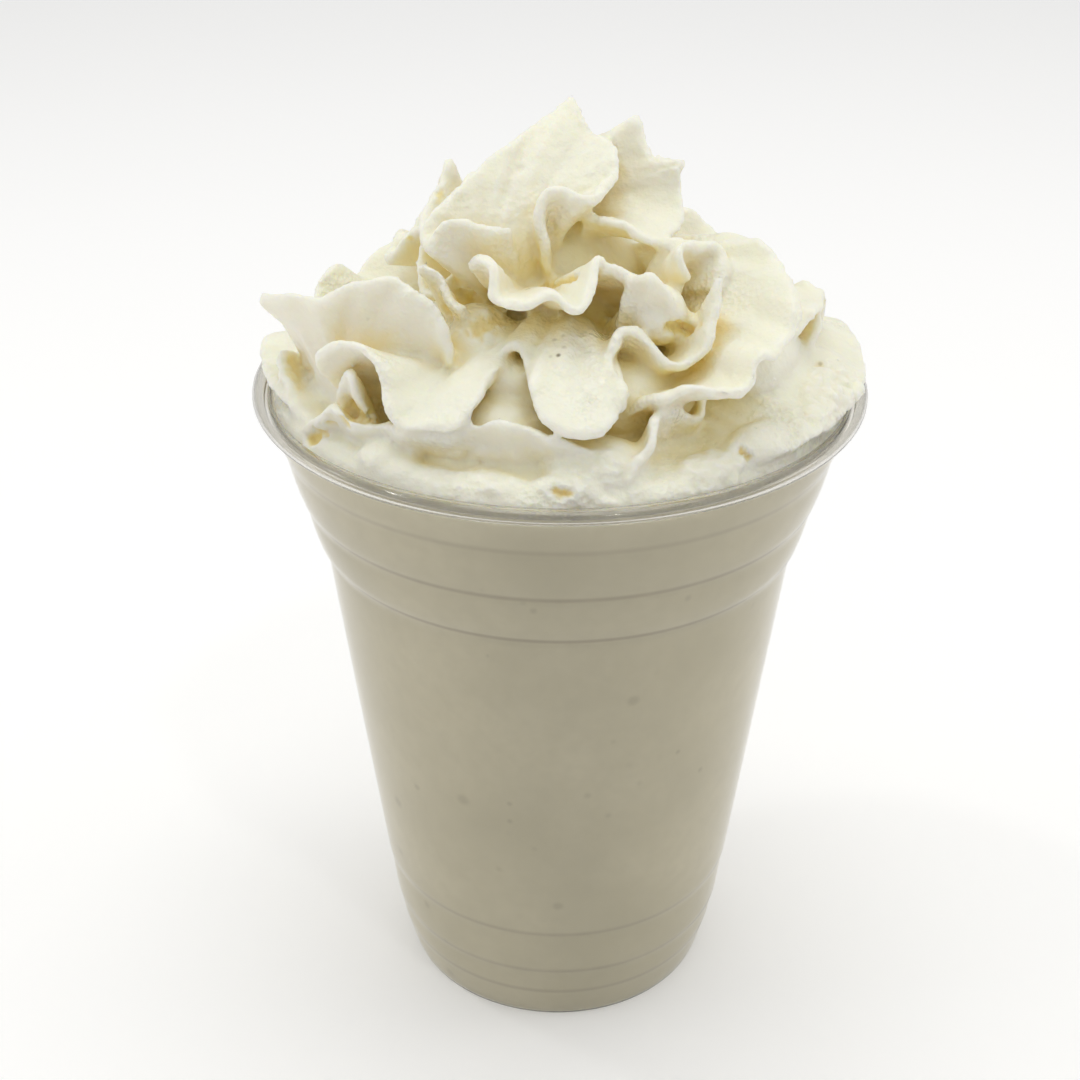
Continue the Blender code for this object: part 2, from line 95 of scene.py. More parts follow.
# Bands of the cup's wall from the foot up: height and outer radius at the lower and the upper end,
# and how far the middle bulges. The gap between two bands is a moulded step.
WALL_BANDS = (
    (1.5, 27.6, 6.7, 28.8, 0.05),
    (7.4, 29.1, 12.4, 29.8, 0.05),
    (13.1, 30.2, 21.9, 31.1, 0.05),
    (22.7, 31.5, 86.4, 39.1, 0.0),
    (88.1, 40.3, 95.3, 41.9, 0.2),
    (96.6, 42.7, 104.6, 44.6, 0.2),
    (105.8, 45.2, 111.1, 46.4, 0.05),
)

# Distance from the axis and height up the mound that the petals grow from
MOUND_PROFILE = (
    (45.1, 113.4), (43.5, 114.6), (38.0, 115.2), (30.0, 117.0), (22.5, 120.4), (19.0, 126.0),
    (14.5, 132.0), (8.0, 139.0), (4.5, 146.0), (0.0, 149.0),
)

# Whipped cream's mesh: spacing of the points along a hem, rows from root to hem, and how fast a
# petal thins on its way to the hem
HEM_STEP = 0.9 * MM
PETAL_ROWS = 9
LEAST_COLUMNS = 4
SAMPLES_PER_SPAN = 40
THINNING = 1.3
# The flutes have faded out where the share of the way to the hem, times this, is 1
FLUTE_END = 1.2
# Times that a lump's faces are halved, size of the room cut off under the cream, and height of the
# upright side of the mound's foot
LUMP_HALVINGS = 4
CUTTER_RADIUS = 60 * MM
CUTTER_DEPTH = 30 * MM
FOOT_SIDE = 1.5 * MM
# Widths of a petal's flutes and the finer creases beside them, of the small waves of a hem, of its
# torn stretches and of their teeth
FLUTE_WIDTH = 7.0 * MM
CREASE_PITCH = 2.6 * MM
RUFFLE_WIDTH = 5.0 * MM
TEAR_PATCH = 9.0 * MM
TEAR_TOOTH = 1.6 * MM
# Unevenness of the cream: height in mm and size of each kind
UNEVENNESS = ((0.30, 7.0 * MM), (0.2, 2.6 * MM))
# Grainy patches: height in mm and size of the grain, size of the patches, the noise they start at,
# and where in the noise they are taken from
PATCH_HEIGHT = 0.8
PATCH_GRAIN = 1.3 * MM
PATCH_SIZE = 11.0 * MM
PATCH_START = 0.12
PATCH_SHIFT = Vector((5.0, 1.0, 2.0))
# Height from which the cream may be uneven, and over which that sets in
ROUGH_FROM = 111.4 * MM
ROUGH_FADE = 1.0 * MM
# How much wider than its given size a pit or a crevice is at its edge
PIT_SPREAD = 1.6
CREVICE_SPREAD = 1.5
# How much a hollow's depth in mm adds to the painted fold shade in its colour
HOLLOW_SHADE = 0.8
# Unevenness of a hollow's edge and the size of that unevenness, and the longest crevice
CREVICE_UNEVENNESS = 0.8
CREVICE_GRAIN = 1.1 * MM
CREVICE_LIMIT = 14 * MM
# Rays that measure how deep a point lies in a fold, which sets its painted fold shade, and how far they
# reach
FOLD_RAYS = 14
FOLD_REACH = 22.0 * MM
# How far off the surface the rays start, how much less the farthest hit counts, and over how many
# edges the depth is evened out
RAY_START = 0.3 * MM
FAR_LOSS = 0.5
FOLD_ROUNDS = 3
# A hem stands out fully, and gets its full painted highlight, when it is this far off the mean of its
# surroundings, so many edges wide
HEM_BULGE = 0.25 * MM
HEM_ROUNDS = 4

# Patches of coarse froth: azimuth, distance and height of the middle, radius, and depth of the bubbles
FROTH = (
    (68, 46, 116, 9, 0.55), (-18, 43, 113.3, 9, 0.3), (8, 43, 113.3, 8, 0.35), (30, 43, 113.3, 8, 0.3),
    (-78, 43, 117, 9, 0.3), (52, 42, 117, 7, 0.25), (84, 17, 149, 6, 0.5), (140, 6, 153, 6, 0.35),
    (0, 25, 126, 8, 0.25), (120, 42, 116, 10, 0.4), (-130, 42, 116, 10, 0.4), (180, 42, 116, 10, 0.4),
)
# Size of the bubbles, share of the ones of half that size, contrast, and what is taken off
FROTH_SCALE = 1.9 * MM
FROTH_FINE = 0.4
FROTH_CONTRAST = 2.4
FROTH_MIDDLE = 0.5

# Faint dark spots in the drink: azimuth and height of the middle, how wide, and how dark, 0 to 1
SPOTS = (
    (8, 55, 1.0, 0.35), (22, 56, 0.8, 0.3), (14, 50, 0.9, 0.35), (14, 66, 0.8, 0.3),
    (-7, 95, 0.8, 0.3), (-16, 83, 0.6, 0.8), (-15, 97, 0.7, 0.25), (-17, 37, 0.9, 0.3),
)
# How dark the painted shade line at each moulded step is, from the foot up, and its half width
STEP_SHADE_STRENGTHS = (0.35, 0.35, 0.35, 0.55, 0.5, 0.25)
STEP_SHADE_WIDTH = 0.8 * MM

CLOUDY_PLASTIC = (0.95, 0.96, 0.95, 1.0)
# Colour of the painted highlight on the hems that stick out
HEM_HIGHLIGHT = (0.95, 0.935, 0.86, 1.0)
# Mean of the bead pattern, so that beads neither raise nor sink the patch that has them
BEAD_MIDDLE = 0.38
# How much of the light sinks into the cream, how far, and how far its red, green and blue go
SOFT_SHARE = 0.55
SOFT_REACH = 2.0 * MM
SOFT_TINT = (1.0, 0.85, 0.5)
# Fold depths at which the painted fold shade sets in and is full, and shares of the painted side shade and
# of the painted hem highlight
FOLD_RANGE = (0.32, 0.85)
SIDE_SHADE_SHARE = 0.85
HEM_HIGHLIGHT_SHARE = 0.4
# How shiny the plastic is, and how far below its top the painted shade of the rolled rim starts and is full
PLASTIC_SHINE = 0.35
RIM_SHADE_START = 3.0 * MM
RIM_SHADE_FULL = 2.0 * MM
LAMP_AIM = Vector((0.0, 0.0, 0.12))

# Petals that show from the front. Each is a sheet from a root line on the mound to a wavy hem. A
# point is an azimuth in degrees (0 is the front, 90 the right), a distance from the axis and a
# height, in mm. Rise is the angle at which the sheet leaves the mound, and pull how far it keeps it.
PETALS = {
    "top_plume": dict(
        rise=70, pull=0.35,
        root=((-50, 20, 136), (-32, 15, 137), (-20, 9, 136), (-12, 7, 132)),
        hem=((-48, 26, 140), (-54, 24, 143), (-57, 18, 146.5), (-62, 11, 150.5), (-105, 4, 153),
             (168, 5.4, 155.6), (164, 5.6, 155.8), (105, 4.5, 152), (72, 7.5, 151.5), (55, 10, 150),
             (36, 12.5, 147), (16, 13.5, 146.5), (2, 13, 147.5),
             (-10, 14, 147), (-12, 15, 144), (-7, 15, 139), (-10, 13, 134)),
    ),
    "second_plume": dict(
        rise=40, pull=0.35,
        root=((110, 4, 150), (90, 5, 146), (60, 6, 141), (20, 6, 138)),
        hem=((125, 9, 150), (100, 11, 153), (96, 11.4, 154), (88, 12.5, 150.5), (84, 14, 148),
             (80, 17.6, 148.8), (77, 18, 147.5), (72, 18.4, 144.5), (68, 19.5, 142), (55, 20, 140.5),
             (42, 20, 140), (33, 16, 143), (26, 14, 143), (18, 12, 142)),
    ),
    "left_tip": dict(
        rise=60, pull=0.4,
        root=((-108, 12, 134), (-84, 12, 136), (-62, 13, 135)),
        hem=((-114, 18, 139), (-100, 18.5, 143), (-92, 17.4, 147), (-90, 17.2, 147.6), (-84, 18.4, 144.5),
             (-74, 21, 142), (-64, 23, 139.5)),
    ),
    "under_plume": dict(
        rise=50, pull=0.4,
        root=((-44, 16, 130), (-28, 13, 133)),
        hem=((-46, 26, 139), (-47, 25, 142), (-42, 22, 144), (-34, 19, 143), (-26, 16, 142)),
    ),
    "left_curl": dict(
        rise=70, pull=0.4,
        root=((-46, 22, 128), (-34, 22, 126)),
        hem=((-50, 27, 136), (-46, 28, 138), (-41, 26, 137), (-37, 27, 134), (-33, 27, 132)),
    ),
    "middle_tier": dict(
        rise=25, pull=0.4,
        root=((-34, 14, 130), (-8, 13, 132), (16, 12, 132), (40, 13, 129)),
        hem=((-31, 25, 138), (-27, 26, 140), (-22, 27, 140), (-18, 29, 136), (-10, 30, 136),
             (-2, 29, 137), (5, 30, 136), (9.6, 28, 137), (11, 25, 139.6), (12, 23.4, 141),
             (15.4, 22.6, 140.8), (16.6, 23.4, 139.4), (19.4, 23.6, 139.4), (21.6, 24.2, 138.2),
             (25, 25, 137), (30, 25.4, 136), (36, 26, 134), (43, 25, 134.6), (50, 24, 137)),
    ),
    "left_petal": dict(
        rise=85, pull=0.5,
        root=((-76, 38, 115), (-56, 36, 119), (-32, 26, 122)),
        hem=((-80, 43, 126), (-77, 46, 130), (-66, 44, 133), (-58, 41, 134), (-50, 37, 137),
             (-45, 33.6, 137.8), (-39, 31.6, 135.8), (-34, 30.8, 133.6), (-31, 30.8, 130), (-30, 31, 126)),
    ),
    "left_tuck": dict(
        rise=75, pull=0.4,
        root=((-54, 36, 111), (-43, 35, 111)),
        hem=((-59, 39, 115.5), (-52, 41, 121), (-46.4, 42, 125.6), (-43.6, 42, 124.6), (-43.6, 41, 120.6),
             (-42, 40, 117)),
    ),
    "main_front": dict(
        rise=20, pull=0.4,
        root=((-60, 34, 116), (-34, 24, 122), (-16, 20, 128), (2, 20, 129.5), (16, 20, 127),
              (30, 22, 122), (44, 25, 126)),
        hem=((-57, 42, 123), (-54, 43, 127), (-48, 42, 130), (-42, 41, 130), (-37, 41, 126),
             (-33, 42.8, 122), (-26, 42.4, 121.6), (-19, 41, 122.4), (-19.4, 33.4, 126), (-16, 28, 128),
             (-10, 29, 128), (-6, 36, 125), (-2, 40, 123), (5, 42, 122), (11, 40, 123), (14, 36, 125),
             (13, 31, 129), (17, 29, 132), (23, 30, 130), (31, 33.5, 127.2), (36, 35, 129),
             (39.5, 34.4, 131.6), (42, 33.4, 134.8), (44.6, 32.3, 138.4)),
    ),
    "bowl": dict(
        rise=10, pull=0.6,
        root=((20, 20, 128), (34, 20, 127), (47, 21, 126)),
        hem=((21, 25, 136), (24, 26.4, 138), (27.5, 27.8, 138.9), (31, 29, 137), (34, 29.6, 134.2),
             (40, 29, 131.8)),
    ),
    "small_curl": dict(
        rise=60, pull=0.4,
        root=((45, 18, 131), (60, 18, 131)),
        hem=((45, 26.4, 136), (41.6, 26.4, 138.4), (42.5, 25.2, 140.6), (48, 24.4, 140.9), (57, 24.4, 139.4),
             (66, 25.4, 137.6), (68, 26.4, 135)),
    ),
    "lower_front": dict(
        rise=85, pull=0.5,
        root=((-62, 40, 108), (-40, 37, 109), (-10, 35, 110), (16, 36, 109)),
        hem=((-62, 44, 112), (-57, 44.2, 115), (-51, 44, 118.6), (-46, 44, 120.4), (-42, 42.6, 119),
             (-38, 41.4, 118.6), (-33, 42, 120.4), (-28, 41.4, 120), (-23, 40.8, 120.4), (-17, 39.6, 121),
             (-12, 39.6, 123.2), (-6, 39.6, 121.4), (0, 40.6, 120.6), (6, 40.4, 119), (12, 40, 118),
             (16, 39, 116)),
    ),
    "rim_ridge": dict(
        rise=80, pull=0.5,
        root=((10, 40, 109), (24, 32, 110), (38, 31, 112)),
        hem=((12, 44, 114), (15, 42, 118), (19, 40, 121), (26, 36, 122), (31, 36, 120), (34, 36, 120),
             (38, 34, 122)),
    ),
    "right_droop": dict(
        rise=20, pull=0.35,
        root=((14, 26, 116), (30, 26, 119), (46, 24, 125), (60, 20, 132), (82, 14, 135)),
        hem=((16, 32, 121), (20, 36, 123.6), (24, 39, 125), (28, 41.6, 127), (32, 42.8, 126.2),
             (36, 44, 127), (38.4, 43, 129.6), (40.6, 43.4, 130.4), (43, 44, 129.4), (46, 43.4, 131.6),
             (50, 43, 132), (56, 41, 135), (62, 36, 138), (70, 31, 139), (80, 26, 138)),
    ),
    "rim_blade": dict(
        rise=80, pull=0.5,
        root=((35, 38, 109), (44, 37, 109)),
        hem=((35.6, 42, 113), (37.4, 42.4, 115.4), (39.4, 42.4, 117), (42, 41.6, 115.8), (45, 41, 112.6)),
    ),
    "right_curl": dict(
        rise=60, pull=0.4,
        root=((42, 16, 130), (54, 19, 130)),
        hem=((46, 20, 140), (50, 22, 140.5), (53, 24, 140), (58, 26, 140), (61, 27.5, 138), (56, 29, 136),
             (52, 29, 134)),
    ),
    "right_flow": dict(
        rise=5, pull=0.55,
        root=((30, 28, 113), (56, 26, 118), (84, 24, 121), (108, 24, 121)),
        hem=((26, 41, 114), (36, 43, 114.6), (46, 45.2, 115.3), (56, 46.2, 115.5), (66, 46.8, 116),
             (76, 48, 117.6), (86, 47.6, 116.6), (96, 47, 118), (106, 45, 116.6)),
    ),
    "right_shell": dict(
        rise=40, pull=0.4,
        root=((70, 22, 122), (92, 22, 124), (116, 22, 123)),
        hem=((66, 36, 125), (76, 40, 127), (88, 41, 126.5), (96, 41.5, 121), (104, 39, 124),
             (114, 36, 122)),
    ),
    "left_skirt": dict(
        rise=15, pull=0.4,
        root=((-52, 34, 112), (-74, 32, 116), (-96, 30, 118), (-118, 30, 116)),
        hem=((-50, 42, 114), (-60, 43, 115), (-70, 45, 115.8), (-80, 46.5, 117.2), (-90, 47, 118),
             (-100, 46, 116), (-110, 45, 118), (-120, 43, 115)),
    ),
}

# Petals of the sides and back, which repeat the front ones: which one, how far round it is turned in
# degrees, whether it is mirrored, and the share of its distance and the height in mm it differs by.
REPEATS = {
    "back_main_right": ("main_front", 134, False, 0.94, -2.0),
    "back_main_left": ("main_front", 214, True, 0.9, -2.5),
    "back_droop": ("right_droop", 128, False, 0.85, -6.0),
    "back_droop_left": ("right_droop", -62, True, 0.82, -7.0),
    "back_petal": ("left_petal", 200, False, 0.88, -7.5),
    "back_middle_right": ("middle_tier", 98, False, 0.92, -3.0),
    "back_middle": ("middle_tier", 190, True, 1.0, -1.5),
    "back_middle_left": ("middle_tier", 262, False, 0.9, -3.0),
    "back_under": ("under_plume", 150, True, 1.0, -1.0),
    "back_plume": ("second_plume", 128, False, 1.05, -11.0),
    "left_plume": ("second_plume", 178, False, 1.15, -12.0),
    "back_wall_right": ("lower_front", 168, False, 1.0, 0.0),
    "back_wall": ("lower_front", 236, False, 1.0, 0.5),
    "back_wall_left": ("lower_front", 238, True, 1.0, 0.0),
}

# Rounded lumps: azimuth, distance and height of the middle, and half sizes away from the axis,
# along the rim and up
LUMPS = {
    "right_shoulder": (84, 30, 115, 13, 20, 9),
    "left_shoulder": (-84, 34, 114, 10, 16, 6),
    "back_shoulder": (180, 28, 115, 15, 24, 8),
    "pocket_ball": (-16, 32.4, 117.6, 6.4, 8.4, 5.2),
    "pocket_back": (-17, 27, 120.4, 5, 9, 5),
    "pocket_top": (-18, 26.8, 123.2, 4.6, 7, 3.6),
    "bowl_ball": (34, 25.4, 131.6, 4.2, 4.4, 4.6),
    "shell_filling": (68, 32.6, 120.6, 6, 10, 7),
    "crest_filling": (21, 26, 120, 7, 9, 6),
    "neck_filling": (-33, 22, 125, 6, 7, 7),
    "foot_left": (-33, 42, 113.4, 3.2, 5, 2.6),
    "foot_middle": (-14, 41.6, 113.2, 3.4, 8, 2.6),
    "foot_right": (8, 37.5, 114.5, 6, 8, 5),
    "foam_left": (-37, 41.8, 114, 3.2, 4.4, 2.9),
    "foam_left_front": (-25, 42, 113, 3, 7, 2.4),
    "foam_right": (2, 42, 113.8, 3, 6, 2.6),
    "foam_blade": (31, 41.4, 114, 3.4, 6.4, 2.4),
    "bump_right_front": (60, 43.6, 115.8, 3.2, 4.4, 2.6),
    "bump_right": (67, 43.4, 116.4, 3.4, 4.6, 2.8),
    "bump_right_back": (76, 44, 117, 3, 4.6, 2.8),
    "rim_right_front": (44, 41.6, 115, 3.5, 7, 3.4),
    "rim_right": (70, 41.4, 115.8, 3.7, 8, 4.2),
    "rim_right_back": (112, 41, 115.3, 4, 8, 4),
    "rim_back_right": (142, 41, 114.8, 4, 10, 4),
    "rim_back": (176, 41, 114.4, 3.9, 9, 3.6),
    "rim_back_left": (214, 40.8, 115, 4.2, 11, 4.4),
    "rim_left_back": (248, 41, 114.6, 3.9, 9, 3.8),
}

# Marks on the cream. Each place, an azimuth, a distance from the axis and a height, is only near the
# surface: the mark lies where the camera's line of sight through it meets the cream. A pit has its
# radius and depth in mm, a speck its radius and darkness, 0 to 1. A crevice runs between two places
# and has its half width and depth in mm.
PITS = (
    (-63, 20, 145.6, 0.8, 0.6), (-58, 26, 140.8, 0.6, 0.5), (-30, 12, 150, 0.5, 0.4),
    (60, 44, 124.5, 0.7, 0.6), (37, 33, 132.6, 0.6, 0.4), (-31, 31, 134.4, 0.7, 0.6),
)
CREVICES = (
    ((-59.2, 43.5, 111.9), (-45.7, 43.5, 118.6), 1.0, 1.3),
    ((-45.6, 41, 120.5), (-41.2, 41, 119.8), 0.8, 1.4),
    ((-1, 43, 114.3), (2, 43, 113.7), 0.7, 1.2),
    ((42.3, 41, 126.2), (47.5, 41, 127.4), 0.8, 1.5),
    ((23.4, 40, 125.6), (26.3, 40, 123.5), 0.7, 1.3),
    ((37.9, 42.5, 116), (40.3, 42.5, 114.3), 0.6, 1.0),
    ((30.1, 31, 132.2), (35.4, 31, 131), 0.8, 1.2),
    ((-5.5, 24, 137.4), (4.6, 24, 138.2), 0.6, 1.0),
    ((-23.1, 30, 132.2), (-16.1, 30, 134.3), 1.4, 0.8),
)
SPECKS = (
    (-0.3, 33, 130.4, 0.45, 0.85), (-1.3, 33, 132.7, 0.5, 0.3), (1.1, 33, 131.6, 0.5, 0.25),
    (0.8, 33, 133.4, 0.4, 0.2), (-2.2, 33, 130.2, 0.4, 0.2), (60, 44, 124.5, 0.5, 0.3),
)


class CupSettings(bpy.types.PropertyGroup):
    """Sizes and finish of the cup."""

    rim_radius: FloatProperty(
        name="Rim radius", description="Outer radius of the rolled rim", default=49.0 * MM,
        unit="LENGTH")
    height: FloatProperty(
        name="Height", description="Height of the top of the rolled rim", default=113.8 * MM,
        unit="LENGTH")
    wall: FloatProperty(
        name="Wall", description="Thickness of the plastic", default=0.6 * MM, unit="LENGTH")
    curl_width: FloatProperty(
        name="Curl width", description="Width of the rolled rim", default=2.9 * MM, unit="LENGTH")
    curl_depth: FloatProperty(
        name="Curl depth", description="Height of the rolled rim", default=2.4 * MM,
        unit="LENGTH")
    curl_skin: FloatProperty(
        name="Curl skin", description="Thickness of the plastic in the rolled rim",
        default=0.45 * MM, unit="LENGTH")
    foot_radius: FloatProperty(
        name="Foot radius", description="Outer radius of the ring that the cup stands on",
        default=26.9 * MM, unit="LENGTH")
    foot_width: FloatProperty(
        name="Foot width", description="Width of the ring that the cup stands on",
        default=2.6 * MM, unit="LENGTH")
    recess: FloatProperty(
        name="Recess", description="How far the floor is set up above the foot",
        default=2.0 * MM, unit="LENGTH")
    floor: FloatProperty(
        name="Floor", description="Thickness of the floor", default=1.0 * MM, unit="LENGTH")
    groove_floor: FloatProperty(
        name="Groove floor", description="Height of the bottom of the groove in the foot ring",
        default=0.8 * MM, unit="LENGTH")
    steps: IntProperty(
        name="Steps", description="Facets round the cup", default=160, min=24)
    colour: FloatVectorProperty(
        name="Plastic", description="Colour of the clear plastic", subtype="COLOR", size=4,
        min=0.0, max=1.0, default=(0.98, 0.985, 0.975, 1.0))
    # Painted shade: the rolled rim's plastic is coloured darker, standing in for the shade seen through its
    # layers
    rim_painted_shade: FloatVectorProperty(
        name="Rim", description="Colour of the plastic in the rolled rim, which looks darker",
        subtype="COLOR", size=4, min=0.0, max=1.0, default=(0.80, 0.785, 0.74, 1.0))
    roughness: FloatProperty(
        name="Roughness", description="Roughness of the plastic", default=0.06,
        subtype="FACTOR", min=0.0, max=1.0)
    ior: FloatProperty(
        name="Refraction", description="Index of refraction of the plastic", default=1.46)


class ShakeSettings(bpy.types.PropertyGroup):
    """Sizes and colours of the milkshake."""

    level: FloatProperty(
        name="Level", description="Height of the drink's surface", default=110.9 * MM,
        unit="LENGTH")
    reach: FloatProperty(
        name="Reach", description="How far the drink reaches into the wall, so that no air shows",
        default=0.12 * MM, unit="LENGTH")
    colour: FloatVectorProperty(
        name="Drink", description="Colour of the milkshake", subtype="COLOR", size=4, min=0.0,
        max=1.0, default=(0.735, 0.675, 0.505, 1.0))
    shade: FloatVectorProperty(
        name="Mottle", description="Colour of the drink's darker clouds", subtype="COLOR", size=4,
        min=0.0, max=1.0, default=(0.645, 0.59, 0.43, 1.0))
    speck: FloatVectorProperty(
        name="Specks", description="Colour of the faint specks in the drink", subtype="COLOR",
        size=4, min=0.0, max=1.0, default=(0.40, 0.35, 0.24, 1.0))
    # Painted shade: colour of the dark lines painted round the drink at the moulded steps
    crease: FloatVectorProperty(
        name="Creases", description="Colour of the drink where it shows through a moulded step",
        subtype="COLOR", size=4, min=0.0, max=1.0, default=(0.38, 0.31, 0.20, 1.0))
    roughness: FloatProperty(
        name="Roughness", description="Roughness of the drink", default=0.5, subtype="FACTOR",
        min=0.0, max=1.0)


class CreamSettings(bpy.types.PropertyGroup):
    """Sizes and colours of the whipped cream."""

    bottom: FloatProperty(
        name="Bottom", description="Height of the cream's flat underside", default=110.8 * MM,
        unit="LENGTH")
    foot_radius: FloatProperty(
        name="Foot radius", description="Radius of the cream's underside", default=45.6 * MM,
        unit="LENGTH")
    hem: FloatProperty(
        name="Hem", description="Thickness of a petal at its hem", default=1.5 * MM,
        unit="LENGTH")
    root: FloatProperty(
        name="Root", description="Thickness of a petal at its root", default=4.6 * MM,
        unit="LENGTH")
    sink: FloatProperty(
        name="Sink", description="How far a petal's root is sunk into the mound",
        default=3.0 * MM, unit="LENGTH")
    flute: FloatProperty(
        name="Flutes", description="Depth of the soft flutes across a petal", default=0.55 * MM,
        unit="LENGTH")
    ruffle: FloatProperty(
        name="Ruffles", description="How far a hem's small waves stand out to both sides",
        default=0.8 * MM, unit="LENGTH")
    ragged: FloatProperty(
        name="Ragged", description="How far the torn stretches of a hem stand out",
        default=0.7 * MM, unit="LENGTH")
    skin: FloatProperty(
        name="Skin", description="Mesh size of the joined cream", default=0.55 * MM,
        unit="LENGTH")
    triangles: IntProperty(
        name="Triangles", description="Triangles of the finished cream", default=190000,
        min=20000)
    light: FloatVectorProperty(
        name="Cream", description="Colour of the whipped cream", subtype="COLOR", size=4,
        min=0.0, max=1.0, default=(0.90, 0.895, 0.745, 1.0))
    # Painted shade: warm colour painted deep in the folds, pits and crevices
    fold_shade_colour: FloatVectorProperty(
        name="Folds", description="Colour deep in the folds", subtype="COLOR", size=4, min=0.0,
        max=1.0, default=(0.90, 0.75, 0.30, 1.0))
    # Painted shade on the steep outer sides; also the cloud colour of the cream's soft mottle
    side_shade_and_mottle: FloatVectorProperty(
        name="Blush", description="Colour of the faint blush on the outer sides",
        subtype="COLOR", size=4, min=0.0, max=1.0, default=(0.85, 0.82, 0.725, 1.0))
    speck: FloatVectorProperty(
        name="Speck", description="Colour of the small dark specks", subtype="COLOR", size=4,
        min=0.0, max=1.0, default=(0.20, 0.16, 0.10, 1.0))
    roughness: FloatProperty(
        name="Roughness", description="Roughness of the dry cream", default=0.5,
        subtype="FACTOR", min=0.0, max=1.0)


class StageSettings(bpy.types.PropertyGroup):
    """The camera, the floor and the lights."""

    lens: FloatProperty(
        name="Lens", description="Focal length on a 36 mm wide sensor, in mm", default=57.2)
    eye: FloatVectorProperty(
        name="Camera", description="Place of the camera", subtype="TRANSLATION", size=3,
        unit="LENGTH", default=(0.0, -253.68 * MM, 225.21 * MM))
    pitch: FloatProperty(
        name="Pitch", description="How far the camera looks down",
        default=math.radians(29.395), subtype="ANGLE", unit="ROTATION")
    yaw: FloatProperty(
        name="Yaw", description="How far the camera looks to the left",
        default=math.radians(0.71), subtype="ANGLE", unit="ROTATION")
    floor_colour: FloatVectorProperty(
        name="Floor", description="Colour of the floor", subtype="COLOR", size=4, min=0.0,
        max=1.0, default=(0.93, 0.93, 0.925, 1.0))
    floor_glow: FloatProperty(
        name="Floor glow", description="Light that the white floor gives of its own", default=0.15)
    floor_radius: FloatProperty(
        name="Floor radius", description="Radius of the floor", default=2.5, unit="LENGTH")
    sky: FloatProperty(
        name="Sky", description="Strength of the even light from all round", default=0.6)
    overhead: FloatProperty(
        name="Overhead", description="Power of the lamp above, in watts", default=3.05)
    side: FloatProperty(
        name="Side", description="Power of each lamp at the sides, in watts", default=0.8)
    spark: FloatProperty(
        name="Spark", description="Power of each small lamp that makes the wet sparkles, in watts",
        default=0.35)


# Shared geometry


def new_collection(name):
    """A collection of the scene."""
    group = bpy.data.collections.new(name)
    bpy.context.scene.collection.children.link(group)
    return group


def body_of(name, data, group=None):
    """An object with a mesh, in a collection or else in the scene's own."""
    body = bpy.data.objects.new(name, data)
    (group or bpy.context.scene.collection).objects.link(body)
    return body


def applied(body):
    """The object's mesh with its modifiers applied, put in place of the old one."""
    graph = bpy.context.evaluated_depsgraph_get()
    data = bpy.data.meshes.new_from_object(body.evaluated_get(graph))
    body.modifiers.clear()
    body.data = data
    return data


def turned(name, profile, steps, group=None):
    """Closed body turned from (radius, height) pairs that run down its outer side from the axis."""
    data = bpy.data.meshes.new(name)
    edges = [(i, i + 1) for i in range(len(profile) - 1)]
    data.from_pydata([(radius, 0.0, height) for radius, height in profile], edges, [])
    body = body_of(name, data, group)
    screw = body.modifiers.new("turn", "SCREW")
    screw.axis = "Z"
    screw.steps = steps
    screw.render_steps = steps
    screw.use_merge_vertices = True
    screw.merge_threshold = MERGE_GAP
    screw.use_smooth_shade = True
    return body


# Cup and drink


def wall_line(inset=0.0):
    """(radius, height) points up the cup's wall, moved inwards by inset."""
    points = []
    for low, low_radius, high, high_radius, bulge in WALL_BANDS:
        rows = max(round((high - low) / WALL_ROW), LEAST_WALL_ROWS)
        for i in range(rows + 1):
            t = i / rows
            radius = low_radius + (high_radius - low_radius) * t + bulge * 4 * t * (1 - t)
            points.append((radius * MM - inset, (low + (high - low) * t) * MM))
    return points


def wall_radius(height):
    """Outer radius of the cup's wall at a height in mm."""
    radii, heights = zip(*wall_line())
    return float(np.interp(height * MM, heights, radii))


def rolled_rim(cup):
    """(radius, height) points of the rolled rim: out over the roll, and back along its inside."""
    outer, inner = [], []
    for i in range(CURL_POINTS + 1):
        turn = math.radians(CURL_FROM + (CURL_TO - CURL_FROM) * i / CURL_POINTS)
        for points, skin in ((outer, 0.0), (inner, cup.curl_skin)):
            points.append((cup.rim_radius - cup.curl_width / 2
                           + math.cos(turn) * (cup.curl_width / 2 - skin),
                           cup.height - cup.curl_depth / 2
                           + math.sin(turn) * (cup.curl_depth / 2 - skin)))
    return outer + inner[::-1]


def foot_groove(cup, inset):
    """(radius, height) points out over the floor and down into the groove in the foot ring."""
    ring = cup.foot_radius - cup.foot_width
    floor = cup.recess + cup.floor - inset
    low = cup.groove_floor - inset
    return [(ring - GROOVE_START - inset, floor), (ring - GROOVE_TURN - inset, floor - GROOVE_DROP),
            (ring + GROOVE_END - inset, low), (cup.foot_radius - cup.wall + inset, low)]


def make_cup(cup):
    """The clear cup: a thin stepped wall, a rolled rim, and a floor set up inside a foot ring."""
    floor = cup.recess + cup.floor
    inside = wall_line(cup.wall)
    ring = cup.foot_radius - cup.foot_width
    profile = [(0.0, floor)] + foot_groove(cup, 0.0) + inside + rolled_rim(cup)
    profile += wall_line()[::-1]
    profile += [(cup.foot_radius + FOOT_FLARE, FOOT_BEVEL), (cup.foot_radius - FOOT_BEVEL, 0.0)]
    profile += [(ring, 0.0), (ring - cup.recess / 2, cup.recess), (0.0, cup.recess)]
    body = turned("clear_cup", profile, cup.steps)
    applied(body)
    return body


def make_drink(cup, shake):
    """The milkshake: solid from the cup's floor up to its level, just into the plastic."""
    side = [point for point in wall_line(cup.wall - shake.reach) if point[1] < shake.level]
    profile = [(0.0, shake.level), (side[-1][0], shake.level)] + side[::-1]
    profile += foot_groove(cup, shake.reach)[::-1] + [(0.0, cup.recess + cup.floor - shake.reach)]
    body = turned("thick_shake", profile, cup.steps)
    applied(body)
    return body


